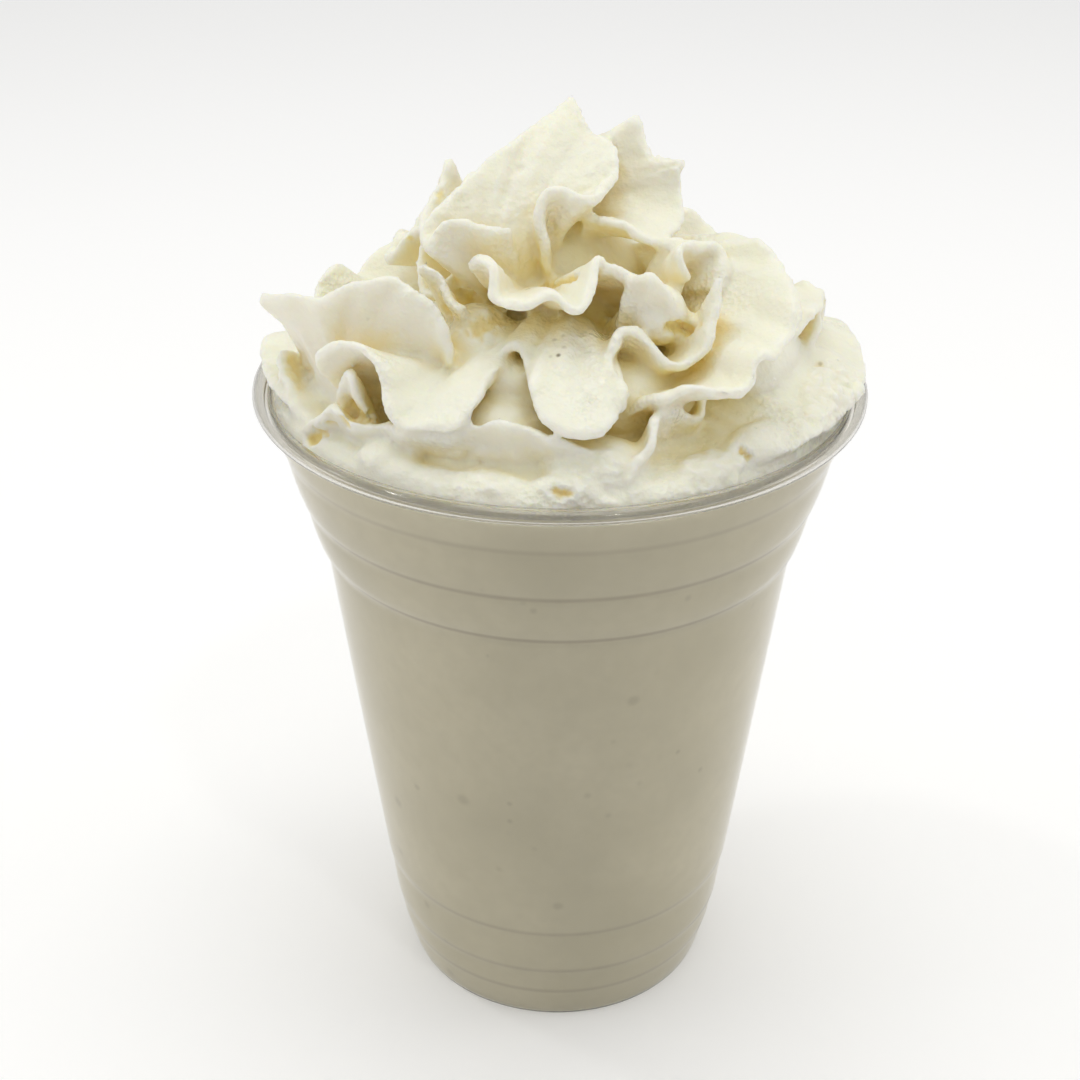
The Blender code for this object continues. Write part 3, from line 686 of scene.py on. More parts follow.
# Whipped cream


def polar(azimuth, radius, height):
    """A point from its azimuth in degrees and, in mm, its distance from the axis and height."""
    turn = math.radians(azimuth)
    return Vector((radius * math.sin(turn), -radius * math.cos(turn), height)) * MM


def on_curve(points, share):
    """The point at a share, 0 to 1, of the smooth curve that runs through all the points."""
    last = len(points) - 1
    place = min(max(share, 0.0), 1.0) * last
    start = min(int(place), last - 1)
    t = place - start
    b, c = points[start], points[start + 1]
    a = points[start - 1] if start > 0 else b * 2 - c
    d = points[start + 2] if start + 2 <= last else c * 2 - b
    return 0.5 * (2 * b + (c - a) * t + (2 * a - 5 * b + 4 * c - d) * t ** 2
                  + (3 * b - a - 3 * c + d) * t ** 3)


def even_shares(points, step):
    """Shares of the smooth curve through the points that lie a step apart along it."""
    fine = SAMPLES_PER_SPAN * (len(points) - 1)
    marks = [on_curve(points, i / fine) for i in range(fine + 1)]
    lengths = [0.0]
    for here, following in zip(marks, marks[1:]):
        lengths.append(lengths[-1] + (following - here).length)
    count = max(round(lengths[-1] / step), LEAST_COLUMNS)
    goals = [lengths[-1] * i / count for i in range(count + 1)]
    return [float(s) for s in np.interp(goals, lengths, np.linspace(0.0, 1.0, fine + 1))]


def petal_sheet(shape, seed, cream):
    """Middle surface of a petal: columns of points that run from the root line out to the hem."""
    root_line = [polar(*point) for point in shape["root"]]
    hem_line = [polar(*point) for point in shape["hem"]]
    rise = math.radians(shape["rise"])
    sheet = []
    for share in even_shares(hem_line, HEM_STEP):
        edge = on_curve(hem_line, share)
        foot = on_curve(root_line, share)
        away = Vector((foot.x, foot.y, 0.0)).normalized()
        leave = away * math.cos(rise) + Vector((0.0, 0.0, math.sin(rise)))
        foot = foot - leave * cream.sink
        reach = edge - foot
        torn = max(noise.noise(edge / TEAR_PATCH + Vector((seed, 0.0, 0.0))), 0.0) * 2
        edge = edge + reach.normalized() * cream.ragged * torn * noise.noise(edge / TEAR_TOOTH)
        bend = foot + leave * reach.length * shape["pull"]
        column = []
        for row in range(PETAL_ROWS + 1):
            t = row / PETAL_ROWS
            column.append(foot * (1 - t) ** 2 + bend * 2 * t * (1 - t) + edge * t ** 2)
        sheet.append(column)
    return sheet


def petal(name, shape, seed, cream, group):
    """Closed body of a petal: its sheet fluted, made thick at the root and thin at a rounded hem."""
    sheet = petal_sheet(shape, seed, cream)
    columns, rows = len(sheet), len(sheet[0])
    mesh = bmesh.new()
    rings = []
    for i, column in enumerate(sheet):
        along_hem = i * HEM_STEP
        flute = cream.flute * noise.noise(Vector((along_hem / FLUTE_WIDTH, seed * 3.7, 0.0))) * 2
        ruffle = cream.ruffle * noise.noise(Vector((along_hem / RUFFLE_WIDTH, seed * 5.1, 3.0))) * 2
        crease = cream.flute * noise.noise(Vector((along_hem / CREASE_PITCH, seed * 2.3, 7.0)))
        upper, lower = [], []
        for j, point in enumerate(column):
            along = sheet[min(i + 1, columns - 1)][j] - sheet[max(i - 1, 0)][j]
            across = column[min(j + 1, rows - 1)] - column[max(j - 1, 0)]
            normal = across.cross(along).normalized()
            t = j / (rows - 1)
            wave = (flute + crease) * math.sin(math.pi * min(t * FLUTE_END, 1.0)) + ruffle * t ** 2
            middle = point + normal * wave
            half = 0.5 * (cream.hem + (cream.root - cream.hem) * (1 - t) ** THINNING)
            upper.append(mesh.verts.new(middle + normal * half))
            lower.append(mesh.verts.new(middle - normal * half))
        out = (column[-1] - column[-2]).normalized()
        nose = mesh.verts.new(column[-1] + out * cream.hem / 2)
        rings.append(upper + [nose] + lower[::-1])
    for ring, following in zip(rings, rings[1:]):
        for k in range(len(ring)):
            m = (k + 1) % len(ring)
            mesh.faces.new((ring[k], ring[m], following[m], following[k]))
    mesh.faces.new(rings[0])
    mesh.faces.new(rings[-1])
    bmesh.ops.triangulate(mesh, faces=mesh.faces[:])
    bmesh.ops.recalc_face_normals(mesh, faces=mesh.faces[:])
    data = bpy.data.meshes.new(name)
    mesh.to_mesh(data)
    mesh.free()
    body_of(name, data, group)


def moved(points, turn, mirrored, share, rise):
    """The same line elsewhere: mirrored if so, turned round the axis, and changed in size."""
    side = -1 if mirrored else 1
    return [(side * azimuth + turn, radius * share, height + rise) for azimuth, radius, height in points]


def ellipsoid(name, place, turn, half_sizes, group):
    """A rounded body with three half sizes, turned about the vertical."""
    mesh = bmesh.new()
    bmesh.ops.create_icosphere(mesh, subdivisions=LUMP_HALVINGS, radius=1.0)
    scale = Matrix.Diagonal(Vector(half_sizes)).to_4x4()
    mesh.transform(Matrix.Translation(place) @ Matrix.Rotation(turn, 4, "Z") @ scale)
    data = bpy.data.meshes.new(name)
    mesh.to_mesh(data)
    mesh.free()
    return body_of(name, data, group)


def drink_cutter(cream, group):
    """The room of the drink, which the cream's lumps and roots are cut off at."""
    low = cream.bottom - CUTTER_DEPTH
    profile = [(0.0, cream.bottom), (CUTTER_RADIUS, cream.bottom), (CUTTER_RADIUS, low), (0.0, low)]
    return turned("drink_cutter", profile, TURNED_STEPS, group)


def joined_cream(cream):
    """The mound with its petals and lumps joined to it, cut off flat above the drink."""
    profile = [(r * MM, z * MM) for r, z in reversed(MOUND_PROFILE)]
    profile += [(cream.foot_radius, cream.bottom + FOOT_SIDE), (cream.foot_radius, cream.bottom),
                (0.0, cream.bottom)]
    mound = turned("whipped_heap", profile, TURNED_STEPS)
    folds = new_collection("cream_folds")
    shapes = dict(PETALS)
    for name, (of, turn, mirrored, share, rise) in REPEATS.items():
        shape = dict(PETALS[of])
        shape["root"] = moved(shape["root"], turn, mirrored, share, rise)
        shape["hem"] = moved(shape["hem"], turn, mirrored, share, rise)
        shapes[name] = shape
    for seed, (name, shape) in enumerate(shapes.items()):
        petal(name, shape, seed, cream, folds)
    for name, (azimuth, radius, height, deep, wide, tall) in LUMPS.items():
        half_sizes = (wide * MM, deep * MM, tall * MM)
        ellipsoid(name, polar(azimuth, radius, height), math.radians(azimuth), half_sizes, folds)
    join = mound.modifiers.new("join", "BOOLEAN")
    join.operation = "UNION"
    join.operand_type = "COLLECTION"
    join.collection = folds
    join.solver = "MANIFOLD"
    cutters = new_collection("cutters")
    flat = mound.modifiers.new("flat", "BOOLEAN")
    flat.operation = "DIFFERENCE"
    flat.object = drink_cutter(cream, cutters)
    flat.solver = "MANIFOLD"
    applied(mound)
    for group in (folds, cutters):
        for old in list(group.objects):
            bpy.data.objects.remove(old, do_unlink=True)
        bpy.data.collections.remove(group)
    return mound


def keep_largest(data):
    """Drops the walls of hollows that the joining sealed, and any loose scrap."""
    mesh = bmesh.new()
    mesh.from_mesh(data)
    left = set(mesh.verts)
    pieces = []
    while left:
        piece = [left.pop()]
        for vert in piece:
            for edge in vert.link_edges:
                other = edge.other_vert(vert)
                if other in left:
                    left.remove(other)
                    piece.append(other)
        pieces.append(piece)
    pieces.sort(key=len)
    for piece in pieces[:-1]:
        bmesh.ops.delete(mesh, geom=piece, context="VERTS")
    mesh.to_mesh(data)
    mesh.free()


def soft_skin(body, cream):
    """Turns the joined sheets into one soft even skin."""
    skin = body.modifiers.new("skin", "REMESH")
    skin.mode = "VOXEL"
    skin.voxel_size = cream.skin
    smooth = body.modifiers.new("smooth", "SMOOTH")
    smooth.factor = 0.5
    smooth.iterations = 3
    data = applied(body)
    keep_largest(data)
    triangles = 2 * len(data.polygons)
    if triangles > cream.triangles:
        thin = body.modifiers.new("thin", "DECIMATE")
        thin.ratio = cream.triangles / triangles
        thin.use_collapse_triangulate = True
        applied(body)


def points_of(data):
    """The mesh's points and their normals as arrays."""
    places = np.empty(len(data.vertices) * 3, np.float32)
    normals = np.empty(len(data.vertices) * 3, np.float32)
    data.vertices.foreach_get("co", places)
    data.vertices.foreach_get("normal", normals)
    return places.reshape(-1, 3), normals.reshape(-1, 3)


def tree_of(data):
    """The mesh as a tree that rays can be cast at."""
    places, _ = points_of(data)
    return BVHTree.FromPolygons(places.tolist(), [tuple(face.vertices) for face in data.polygons])


def seen_marks(data, eye, marks):
    """The marks with their rough places swapped for the ones that the lines of sight meet."""
    tree = tree_of(data)
    eye = Vector(eye)
    seen = []
    for azimuth, radius, height, size, depth in marks:
        place = tree.ray_cast(eye, polar(azimuth, radius, height) - eye)[0]
        if place is not None:
            seen.append((place, size, depth))
    return seen


def nearness(places, start, end, reach):
    """1 on the line between two places and 0 from the reach outwards, with an uneven edge."""
    start, end = np.array(start), np.array(end)
    way = end - start
    share = np.clip((places - start) @ way / max(way @ way, 1e-12), 0.0, 1.0)
    gaps = np.linalg.norm(places - start - share[:, None] * way, axis=1)
    near = np.flatnonzero(gaps < 2 * reach)
    for i in near:
        gaps[i] *= 1 + CREVICE_UNEVENNESS * noise.noise(Vector(places[i]) / CREVICE_GRAIN)
    return np.cos(np.minimum(gaps / reach, 1.0) * math.pi / 2) ** 2


def hollows(data, eye):
    """Depth in mm at each point of the pits and crevices."""
    places, _ = points_of(data)
    total = np.zeros(len(places))
    for middle, size, depth in seen_marks(data, eye, PITS):
        total += depth * nearness(places, middle, middle, PIT_SPREAD * size * MM)
    ends = [(*place, width, depth) for start, end, width, depth in CREVICES for place in (start, end)]
    seen = seen_marks(data, eye, ends)
    for (start, width, depth), (end, _, _) in zip(seen[::2], seen[1::2]):
        if (start - end).length < CREVICE_LIMIT:
            total += depth * nearness(places, start, end, CREVICE_SPREAD * width * MM)
    return total


def roughen(data, eye):
    """Gives the smooth cream its unevenness, froth, and the pits that burst bubbles leave."""
    places, normals = points_of(data)
    moves = np.empty(len(places), np.float32)
    for i, place in enumerate(places):
        spot = Vector(place)
        move = sum(tall * noise.noise(spot / size) for tall, size in UNEVENNESS)
        patch = max(noise.noise(spot / PATCH_SIZE + PATCH_SHIFT) - PATCH_START, 0.0)
        move += PATCH_HEIGHT * patch * noise.noise(spot / PATCH_GRAIN)
        moves[i] = move * MM
    for azimuth, radius, height, reach, depth in FROTH:
        middle = np.array(polar(azimuth, radius, height), np.float32)
        near = np.flatnonzero(np.linalg.norm(places - middle, axis=1) < reach * MM)
        for i in near:
            spot = Vector(places[i])
            fade = 1 - (spot - Vector(middle)).length / (reach * MM)
            bubbles = abs(noise.noise(spot / FROTH_SCALE))
            bubbles += FROTH_FINE * abs(noise.noise(spot / FROTH_SCALE * 2))
            moves[i] += depth * MM * min(2 * fade, 1.0) * (FROTH_CONTRAST * bubbles - FROTH_MIDDLE)
    moves -= hollows(data, eye) * MM
    keep = np.clip((places[:, 2] - ROUGH_FROM) / ROUGH_FADE, 0.0, 1.0)
    places = places + normals * (moves * keep)[:, None]
    data.vertices.foreach_set("co", places.ravel())
    data.update()


def neighbours_mean(data, values, rounds):
    """The values smoothed over the mesh's edges a number of times."""
    ends = np.empty(len(data.edges) * 2, np.int32)
    data.edges.foreach_get("vertices", ends)
    ends = ends.reshape(-1, 2)
    count = np.bincount(ends.ravel(), minlength=len(values)) + 1.0
    for _ in range(rounds):
        total = values + np.bincount(ends[:, 0], values[ends[:, 1]], len(values))
        total = total + np.bincount(ends[:, 1], values[ends[:, 0]], len(values))
        values = total / count
    return values


def half_sphere(count):
    """Directions spread evenly over the upper half sphere, more of them near its top."""
    turns = [math.pi * (3 - math.sqrt(5)) * i for i in range(count)]
    ups = [math.sqrt(1 - (i + 0.5) / count) for i in range(count)]
    return [Vector((math.cos(t) * math.sqrt(1 - u * u), math.sin(t) * math.sqrt(1 - u * u), u))
            for t, u in zip(turns, ups)]


def store(data, name, values):
    """Keeps a number for each point of the mesh under a name that a material can read."""
    layer = data.attributes.new(name, "FLOAT", "POINT")
    layer.data.foreach_set("value", values.astype(np.float32))


def mark_painted_shade_and_highlight(data, hollow_shade):
    """Stores how deep in a fold each point lies, for the painted fold shade, and how sharply its hem sticks
    out, for the painted hem highlight.
    """
    places, normals = points_of(data)
    tree = tree_of(data)
    rays = half_sphere(FOLD_RAYS)
    depth = np.empty(len(places))
    for i, (place, normal) in enumerate(zip(places, normals)):
        up = Vector(normal)
        turn = up.to_track_quat("Z", "Y")
        start = Vector(place) + up * RAY_START
        hits = 0.0
        for ray in rays:
            gap = tree.ray_cast(start, turn @ ray, FOLD_REACH)[3]
            if gap is not None:
                hits += 1 - FAR_LOSS * gap / FOLD_REACH
        depth[i] = hits / FOLD_RAYS
    depth = neighbours_mean(data, depth, FOLD_ROUNDS)
    store(data, "fold_shade_depth", depth + hollow_shade)
    mean = np.stack([neighbours_mean(data, places[:, axis].astype(float), HEM_ROUNDS)
                     for axis in range(3)], 1)
    bulge = np.einsum("ij,ij->i", places - mean, normals) / HEM_BULGE
    store(data, "hem", np.clip(bulge, 0.0, 1.0))


# Materials


def socket(group, name, kind, way, value=None):
    """A named input or output of a node group."""
    made = group.interface.new_socket(name=name, in_out=way, socket_type=kind)
    if value is not None:
        made.default_value = value


def new_group(name, inputs, outputs):
    """A node group with its ends: inputs are (name, kind, value) and outputs (name, kind)."""
    group = bpy.data.node_groups.new(name, "ShaderNodeTree")
    for label, kind, value in inputs:
        socket(group, label, kind, "INPUT", value)
    for label, kind in outputs:
        socket(group, label, kind, "OUTPUT")
    return group, group.nodes.new("NodeGroupInput"), group.nodes.new("NodeGroupOutput")


def math_node(tree, operation, *values):
    """A Math node whose inputs are numbers or sockets; returns its output."""
    made = tree.nodes.new("ShaderNodeMath")
    made.operation = operation
    for slot, value in zip(made.inputs, values):
        plug(tree, value, slot)
    return made.outputs[0]


def plug(tree, value, slot):
    """Links a socket to an input, or else sets the input's value."""
    if isinstance(value, bpy.types.NodeSocket):
        tree.links.new(value, slot)
    else:
        slot.default_value = value


def blend_node(tree, share, first, second):
    """A colour mix of two colours or sockets; returns its output."""
    made = tree.nodes.new("ShaderNodeMix")
    made.data_type = "RGBA"
    plug(tree, share, made.inputs[0])
    plug(tree, first, made.inputs[6])
    plug(tree, second, made.inputs[7])
    return made.outputs[2]


def noise_node(tree, place, scale, detail, rough=0.5):
    """A noise texture at a place; returns its height."""
    made = tree.nodes.new("ShaderNodeTexNoise")
    plug(tree, place, made.inputs["Vector"])
    plug(tree, scale, made.inputs["Scale"])
    made.inputs["Detail"].default_value = detail
    made.inputs["Roughness"].default_value = rough
    return made.outputs[0]


def range_node(tree, value, low, high, to_low=0.0, to_high=1.0):
    """Maps a range of values to another, and clamps it; returns its output."""
    made = tree.nodes.new("ShaderNodeMapRange")
    for slot, number in zip(made.inputs, (value, low, high, to_low, to_high)):
        plug(tree, number, slot)
    return made.outputs[0]


def mottle_group():
    """Soft clouds of a second colour, at a given number to the metre."""
    group, ends, out = new_group(
        "soft_mottle",
        (("Colour", "NodeSocketColor", (0.8, 0.8, 0.8, 1.0)),
         ("Cloud", "NodeSocketColor", (0.7, 0.7, 0.7, 1.0)),
         ("Scale", "NodeSocketFloat", 100.0), ("Share", "NodeSocketFloat", 0.5)),
        (("Colour", "NodeSocketColor"),))
    place = group.nodes.new("ShaderNodeTexCoord").outputs["Object"]
    cloud = noise_node(group, place, ends.outputs["Scale"], 2.0, 0.55)
    share = math_node(group, "MULTIPLY", range_node(group, cloud, 0.35, 0.7), ends.outputs["Share"])
    group.links.new(blend_node(group, share, ends.outputs["Colour"], ends.outputs["Cloud"]),
                    out.inputs["Colour"])
    return group


def speck_group():
    """Small scattered specks of another colour, some of them in each patch of the surface."""
    group, ends, out = new_group(
        "scattered_specks",
        (("Colour", "NodeSocketColor", (0.8, 0.8, 0.8, 1.0)),
         ("Speck", "NodeSocketColor", (0.3, 0.25, 0.2, 1.0)),
         ("Scale", "NodeSocketFloat", 100.0), ("Size", "NodeSocketFloat", 0.1),
         ("Share", "NodeSocketFloat", 0.2), ("Strength", "NodeSocketFloat", 0.5)),
        (("Colour", "NodeSocketColor"),))
    place = group.nodes.new("ShaderNodeTexCoord").outputs["Object"]
    cells = group.nodes.new("ShaderNodeTexVoronoi")
    group.links.new(place, cells.inputs["Vector"])
    group.links.new(ends.outputs["Scale"], cells.inputs["Scale"])
    pick = group.nodes.new("ShaderNodeSeparateColor")
    group.links.new(cells.outputs["Color"], pick.inputs[0])
    size = math_node(group, "MULTIPLY", ends.outputs["Size"],
                     math_node(group, "ADD", pick.outputs[1], 0.3))
    core = math_node(group, "MULTIPLY", size, 0.4)
    outside = range_node(group, cells.outputs["Distance"], core, size)
    dot = math_node(group, "SUBTRACT", 1.0, outside)
    chosen = math_node(group, "LESS_THAN", pick.outputs[0], ends.outputs["Share"])
    share = math_node(group, "MULTIPLY", math_node(group, "MULTIPLY", dot, chosen),
                      ends.outputs["Strength"])
    group.links.new(blend_node(group, share, ends.outputs["Colour"], ends.outputs["Speck"]),
                    out.inputs["Colour"])
    return group


def spot_group(name, spots):
    """Single spots of another colour, each with its own place, radius in mm and strength."""
    group, ends, out = new_group(
        name,
        (("Colour", "NodeSocketColor", (0.8, 0.8, 0.8, 1.0)),
         ("Spot", "NodeSocketColor", (0.3, 0.25, 0.2, 1.0))),
        (("Colour", "NodeSocketColor"),))
    place = group.nodes.new("ShaderNodeTexCoord").outputs["Object"]
    share = 0.0
    for middle, width, strength in spots:
        gap = group.nodes.new("ShaderNodeVectorMath")
        gap.operation = "DISTANCE"
        group.links.new(place, gap.inputs[0])
        gap.inputs[1].default_value = middle
        dot = range_node(group, gap.outputs["Value"], width * 0.3 * MM, width * MM, strength, 0.0)
        share = math_node(group, "MAXIMUM", dot, share)
    group.links.new(blend_node(group, share, ends.outputs["Colour"], ends.outputs["Spot"]),
                    out.inputs["Colour"])
    return group


def painted_step_shade_group():
    """Painted shade: dark lines round the drink at the heights of the cup's moulded steps, standing in for
    the shade under each step.
    """
    group, ends, out = new_group(
        "painted_step_shade",
        (("Colour", "NodeSocketColor", (0.8, 0.8, 0.8, 1.0)),
         ("Line", "NodeSocketColor", (0.3, 0.25, 0.2, 1.0))),
        (("Colour", "NodeSocketColor"),))
    place = group.nodes.new("ShaderNodeSeparateXYZ")
    group.links.new(group.nodes.new("ShaderNodeTexCoord").outputs["Object"], place.inputs[0])
    share = 0.0
    for below, above, strength in zip(WALL_BANDS, WALL_BANDS[1:], STEP_SHADE_STRENGTHS):
        middle = (below[2] + above[0]) / 2 * MM
        gap = math_node(group, "ABSOLUTE", math_node(group, "SUBTRACT", place.outputs[2], middle))
        line = range_node(group, gap, STEP_SHADE_WIDTH * 0.2, STEP_SHADE_WIDTH, strength, 0.0)
        share = math_node(group, "MAXIMUM", line, share)
    group.links.new(blend_node(group, share, ends.outputs["Colour"], ends.outputs["Line"]),
                    out.inputs["Colour"])
    return group


def grain_group():
    """Height of fine unevenness, in patches that are finer and wetter than the rest."""
    group, ends, out = new_group(
        "fine_grain",
        (("Scale", "NodeSocketFloat", 600.0), ("Patch Scale", "NodeSocketFloat", 60.0),
         ("Beads", "NodeSocketFloat", 0.5)),
        (("Height", "NodeSocketFloat"), ("Wet", "NodeSocketFloat")))
    place = group.nodes.new("ShaderNodeTexCoord").outputs["Object"]
    grain = noise_node(group, place, ends.outputs["Scale"], 2.0, 0.6)
    patch = range_node(group, noise_node(group, place, ends.outputs["Patch Scale"], 2.0), 0.48, 0.72)
    beads = group.nodes.new("ShaderNodeTexVoronoi")
    group.links.new(place, beads.inputs["Vector"])
    group.links.new(math_node(group, "MULTIPLY", ends.outputs["Scale"], 1.4), beads.inputs["Scale"])
    bead = math_node(group, "SUBTRACT", beads.outputs["Distance"], BEAD_MIDDLE)
    bead = math_node(group, "MULTIPLY", math_node(group, "MULTIPLY", bead, patch), ends.outputs["Beads"])
    group.links.new(math_node(group, "ADD", grain, bead), out.inputs["Height"])
    group.links.new(patch, out.inputs["Wet"])
    return group


def placed_group(tree, name, **values):
    """A node group placed in a material with its own values, which may be sockets."""
    made = tree.nodes.new("ShaderNodeGroup")
    made.node_tree = bpy.data.node_groups[name]
    for label, value in values.items():
        plug(tree, value, made.inputs[label.replace("_", " ")])
    return made.outputs


def new_material(name):
    """A material, its node tree and its shader."""
    made = bpy.data.materials.new(name)
    made.use_nodes = True
    return made, made.node_tree, made.node_tree.nodes["Principled BSDF"]


def bump_node(tree, height, strength, distance):
    """A Bump node fed by a height; returns its normal."""
    made = tree.nodes.new("ShaderNodeBump")
    made.inputs["Strength"].default_value = strength
    made.inputs["Distance"].default_value = distance
    plug(tree, height, made.inputs["Height"])
    return made.outputs[0]


def clear_plastic(cup):
    """Clear plastic with faint moulding waves and handling haze, which lets lamps through."""
    made, tree, shader = new_material("clear_plastic")
    shader.inputs["IOR"].default_value = cup.ior
    shader.inputs["Specular IOR Level"].default_value = PLASTIC_SHINE
    shader.inputs["Transmission Weight"].default_value = 1.0
    colour = placed_group(tree, "soft_mottle", Colour=cup.colour[:], Cloud=CLOUDY_PLASTIC, Scale=45.0,
                          Share=0.5)["Colour"]
    place = tree.nodes.new("ShaderNodeSeparateXYZ")
    tree.links.new(tree.nodes.new("ShaderNodeTexCoord").outputs["Object"], place.inputs[0])
    # Painted shade: the rolled rim's colour is darkened towards the top
    rim = range_node(tree, place.outputs[2], cup.height - RIM_SHADE_START, cup.height - RIM_SHADE_FULL)
    tree.links.new(blend_node(tree, rim, colour, cup.rim_painted_shade[:]), shader.inputs["Base Color"])
    grain = placed_group(tree, "fine_grain", Scale=70.0, Patch_Scale=25.0, Beads=0.0)
    rough = range_node(tree, grain["Wet"], 0.0, 1.0, cup.roughness, cup.roughness * 2.2)
    tree.links.new(rough, shader.inputs["Roughness"])
    tree.links.new(bump_node(tree, grain["Height"], 0.15, 0.4 * MM), shader.inputs["Normal"])
    clear = tree.nodes.new("ShaderNodeBsdfTransparent")
    mix = tree.nodes.new("ShaderNodeMixShader")
    path = tree.nodes.new("ShaderNodeLightPath")
    tree.links.new(path.outputs["Is Shadow Ray"], mix.inputs[0])
    tree.links.new(shader.outputs[0], mix.inputs[1])
    tree.links.new(clear.outputs[0], mix.inputs[2])
    tree.links.new(mix.outputs[0], tree.nodes["Material Output"].inputs["Surface"])
    return made


def thick_milk(shake):
    """The drink: pale, softly clouded, with a few faint specks."""
    spot_group("drink_spots", [(polar(azimuth, wall_radius(height) / MM, height), width, strength)
                               for azimuth, height, width, strength in SPOTS])
    made, tree, shader = new_material("thick_milk")
    colour = placed_group(tree, "soft_mottle", Colour=shake.colour[:], Cloud=shake.shade[:], Scale=42.0,
                          Share=0.8)["Colour"]
    colour = placed_group(tree, "soft_mottle", Colour=colour, Cloud=shake.shade[:], Scale=420.0,
                          Share=0.35)["Colour"]
    colour = placed_group(tree, "scattered_specks", Colour=colour, Speck=shake.speck[:], Scale=260.0,
                          Size=0.3, Share=0.08, Strength=0.3)["Colour"]
    colour = placed_group(tree, "drink_spots", Colour=colour, Spot=shake.speck[:])["Colour"]
    # Painted shade: dark lines at the heights of the moulded steps
    colour = placed_group(tree, "painted_step_shade", Colour=colour, Line=shake.crease[:])["Colour"]
    tree.links.new(colour, shader.inputs["Base Color"])
    grain = placed_group(tree, "fine_grain", Scale=300.0, Patch_Scale=60.0, Beads=0.4)
    rough = range_node(tree, grain["Wet"], 0.0, 1.0, shake.roughness, shake.roughness * 0.8)
    tree.links.new(rough, shader.inputs["Roughness"])
    tree.links.new(bump_node(tree, grain["Height"], 0.1, 0.2 * MM), shader.inputs["Normal"])
    return made


def whipped_finish(cream, specks):
    """Whipped cream: ivory, with a warm painted shade deep in the folds, a painted shade on steep sides, a
    painted highlight on the hems, and wet patches.
    """
    spot_group("cream_specks", specks)
    made, tree, shader = new_material("cream")
    shader.inputs["Subsurface Weight"].default_value = SOFT_SHARE
    shader.inputs["Subsurface Scale"].default_value = SOFT_REACH
    shader.inputs["Subsurface Radius"].default_value = SOFT_TINT
    depth = tree.nodes.new("ShaderNodeAttribute")
    depth.attribute_name = "fold_shade_depth"
    hem = tree.nodes.new("ShaderNodeAttribute")
    hem.attribute_name = "hem"
    facing = tree.nodes.new("ShaderNodeSeparateXYZ")
    tree.links.new(tree.nodes.new("ShaderNodeNewGeometry").outputs["Normal"], facing.inputs[0])
    # Painted shade: steep sides, lit less from above, are tinted a darker, pinker colour
    side_shade_mask = range_node(tree, facing.outputs[2], 0.75, 0.0, 0.0, SIDE_SHADE_SHARE)
    colour = blend_node(tree, side_shade_mask, cream.light[:], cream.side_shade_and_mottle[:])
    # Painted shade: warm colour deep in the folds and hollows
    fold_shade_share = range_node(tree, depth.outputs["Fac"], *FOLD_RANGE)
    colour = blend_node(tree, fold_shade_share, colour, cream.fold_shade_colour[:])
    colour = placed_group(tree, "soft_mottle", Colour=colour, Cloud=cream.side_shade_and_mottle[:], Scale=120.0,
                          Share=0.25)["Colour"]
    # Painted highlight: hems that stick out are made lighter
    white = math_node(tree, "MULTIPLY", hem.outputs["Fac"], HEM_HIGHLIGHT_SHARE)
    colour = blend_node(tree, white, colour, HEM_HIGHLIGHT)
    colour = placed_group(tree, "scattered_specks", Colour=colour, Speck=cream.speck[:], Scale=45.0,
                          Size=0.022, Share=0.02, Strength=0.5)["Colour"]
    colour = placed_group(tree, "cream_specks", Colour=colour, Spot=cream.speck[:])["Colour"]
    tree.links.new(colour, shader.inputs["Base Color"])
    grain = placed_group(tree, "fine_grain", Scale=850.0, Patch_Scale=75.0, Beads=1.6)
    rough = range_node(tree, grain["Wet"], 0.0, 1.0, cream.roughness, cream.roughness * 0.45)
    tree.links.new(rough, shader.inputs["Roughness"])
    tree.links.new(bump_node(tree, grain["Height"], 0.75, 0.32 * MM), shader.inputs["Normal"])
    return made


def finish_piece(piece, material, node):
    """Gives a piece its material, hides the CAD node that it stands for, and ties it to what it moves with.
    """
    piece.data.materials.clear()
    piece.data.materials.append(material)
    piece.data.shade_smooth()
    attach(piece, "root")
    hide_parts(node)


# Stage


def lamp(name, place, power, size, colour):
    """A soft square lamp that faces the cream."""
    data = bpy.data.lights.new(name, "AREA")
    data.energy = power
    data.size = size
    data.color = colour
    body = body_of(name, data)
    body.location = place
    body.rotation_euler = (LAMP_AIM - Vector(place)).to_track_quat("-Z", "Y").to_euler()


def pale_floor(stage):
    """The floor: a wide round sheet with a faint unevenness of colour."""
    mesh = bmesh.new()
    bmesh.ops.create_circle(mesh, cap_ends=True, segments=96, radius=stage.floor_radius)
    data = bpy.data.meshes.new("pale_floor")
    mesh.to_mesh(data)
    mesh.free()
    floor = body_of("pale_floor", data)
    made, tree, shader = new_material("floor_paint")
    shader.inputs["Roughness"].default_value = 0.7
    colour = placed_group(tree, "soft_mottle", Colour=stage.floor_colour[:],
                          Cloud=[c * 0.98 for c in stage.floor_colour[:3]] + [1.0], Scale=2.0,
                          Share=0.5)["Colour"]
    tree.links.new(colour, shader.inputs["Base Color"])
    shader.inputs["Emission Color"].default_value = stage.floor_colour[:]
    shader.inputs["Emission Strength"].default_value = stage.floor_glow
    data.materials.append(made)


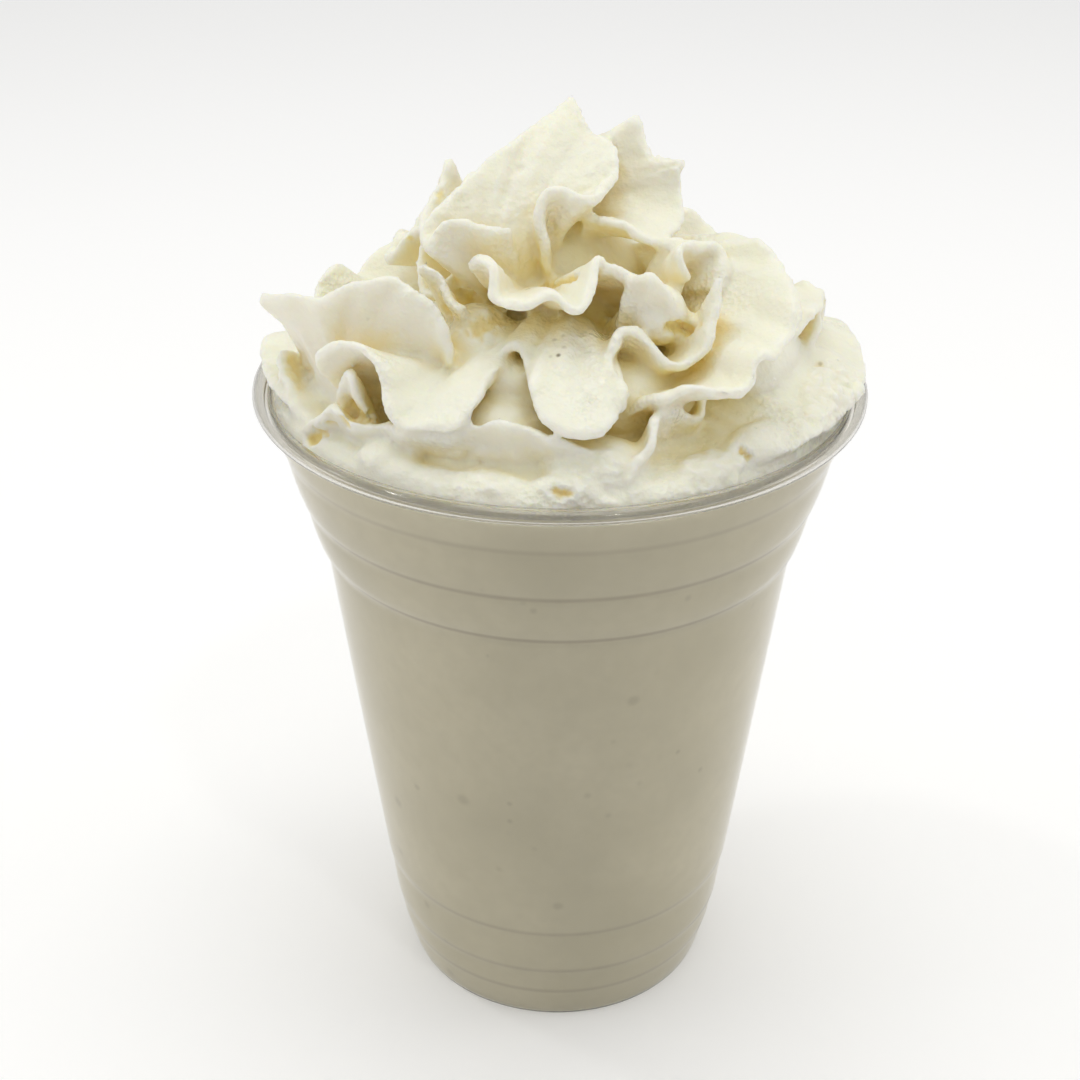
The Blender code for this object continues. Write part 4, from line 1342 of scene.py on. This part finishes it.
def make_stage(stage):
    """Camera, floor and lights."""
    scene = bpy.context.scene
    camera = bpy.data.cameras.new("camera")
    camera.lens = stage.lens
    camera.sensor_width = SENSOR_WIDTH
    camera.clip_start = 0.01
    holder = body_of("camera", camera)
    turn = Matrix.Rotation(stage.yaw, 4, "Z") @ Matrix.Rotation(math.pi / 2 - stage.pitch, 4, "X")
    holder.matrix_world = Matrix.Translation(stage.eye) @ turn
    scene.camera = holder
    world = bpy.data.worlds.new("soft_sky")
    world.use_nodes = True
    sky = world.node_tree.nodes["Background"]
    sky.inputs[0].default_value = (1.0, 1.0, 1.0, 1.0)
    sky.inputs[1].default_value = stage.sky
    scene.world = world
    lamp("overhead_lamp", (0.05, 0.12, 1.1), stage.overhead, 0.7, (1.0, 0.99, 0.96))
    lamp("left_lamp", (-0.8, -0.05, 0.35), stage.side, 0.4, (1.0, 0.98, 0.95))
    lamp("right_lamp", (0.8, 0.05, 0.45), stage.side, 0.4, (1.0, 0.98, 0.95))
    lamp("front_spark", (0.22, -0.45, 0.85), stage.spark, 0.05, (1.0, 1.0, 1.0))
    lamp("left_spark", (-0.4, 0.1, 0.8), stage.spark, 0.05, (1.0, 1.0, 1.0))
    scene.view_settings.view_transform = "Standard"
    pale_floor(stage)


class MILKSHAKE_OT_stage(bpy.types.Operator):
    """Makes the camera, the floor, the lights and the shared effects of the materials"""

    bl_idname = "milkshake.stage"
    bl_label = "Stage"

    def execute(self, context):
        mottle_group()
        speck_group()
        painted_step_shade_group()
        grain_group()
        make_stage(context.scene.milkshake_stage)
        return {"FINISHED"}


class MILKSHAKE_OT_cup(bpy.types.Operator):
    """Makes the clear cup"""

    bl_idname = "milkshake.cup"
    bl_label = "Clear Cup"

    def execute(self, context):
        cup = context.scene.milkshake_cup
        finish_piece(make_cup(cup), clear_plastic(cup), "cup")
        return {"FINISHED"}


class MILKSHAKE_OT_shake(bpy.types.Operator):
    """Makes the milkshake that fills the cup"""

    bl_idname = "milkshake.shake"
    bl_label = "Thick Milkshake"

    def execute(self, context):
        shake = context.scene.milkshake_shake
        drink = make_drink(context.scene.milkshake_cup, shake)
        finish_piece(drink, thick_milk(shake), "milkshake")
        return {"FINISHED"}


class MILKSHAKE_OT_cream(bpy.types.Operator):
    """Makes the ruffled heap of whipped cream"""

    bl_idname = "milkshake.cream"
    bl_label = "Whipped Cream"

    def execute(self, context):
        cream = context.scene.milkshake_cream
        heap = joined_cream(cream)
        soft_skin(heap, cream)
        eye = context.scene.milkshake_stage.eye
        # Painted shade deep in the pits and crevices, added to the fold depth
        hollow_shade = HOLLOW_SHADE * hollows(heap.data, eye)
        roughen(heap.data, eye)
        mark_painted_shade_and_highlight(heap.data, hollow_shade)
        specks = seen_marks(heap.data, eye, SPECKS)
        finish_piece(heap, whipped_finish(cream, specks), "whipped_cream")
        return {"FINISHED"}


class MILKSHAKE_PT_pieces(bpy.types.Panel):
    """Lists the pieces and their settings"""

    bl_label = "Milkshake"
    bl_idname = "MILKSHAKE_PT_pieces"
    bl_space_type = "VIEW_3D"
    bl_region_type = "UI"
    bl_category = "Milkshake"

    def draw(self, context):
        for operator, settings in PIECES:
            box = self.layout.box()
            box.operator(operator.bl_idname)
            group = getattr(context.scene, settings)
            for name in group.bl_rna.properties.keys():
                if name not in ("rna_type", "name"):
                    box.prop(group, name)


PIECES = (
    (MILKSHAKE_OT_stage, "milkshake_stage"),
    (MILKSHAKE_OT_cup, "milkshake_cup"),
    (MILKSHAKE_OT_shake, "milkshake_shake"),
    (MILKSHAKE_OT_cream, "milkshake_cream"),
)
SETTINGS = {
    "milkshake_stage": StageSettings,
    "milkshake_cup": CupSettings,
    "milkshake_shake": ShakeSettings,
    "milkshake_cream": CreamSettings,
}


def register():
    """Makes the settings, the operators and the panel known to Blender."""
    for name, settings in SETTINGS.items():
        bpy.utils.register_class(settings)
        setattr(bpy.types.Scene, name, PointerProperty(type=settings))
    for operator, _ in PIECES:
        bpy.utils.register_class(operator)
    bpy.utils.register_class(MILKSHAKE_PT_pieces)


def unregister():
    """Takes out what register made."""
    bpy.utils.unregister_class(MILKSHAKE_PT_pieces)
    for operator, _ in reversed(PIECES):
        bpy.utils.unregister_class(operator)
    for name, settings in SETTINGS.items():
        delattr(bpy.types.Scene, name)
        bpy.utils.unregister_class(settings)


def main():
    """Makes the stage and every piece."""
    register()
    bpy.ops.milkshake.stage()
    bpy.ops.milkshake.cup()
    bpy.ops.milkshake.shake()
    bpy.ops.milkshake.cream()


if __name__ == "__main__":
    main()
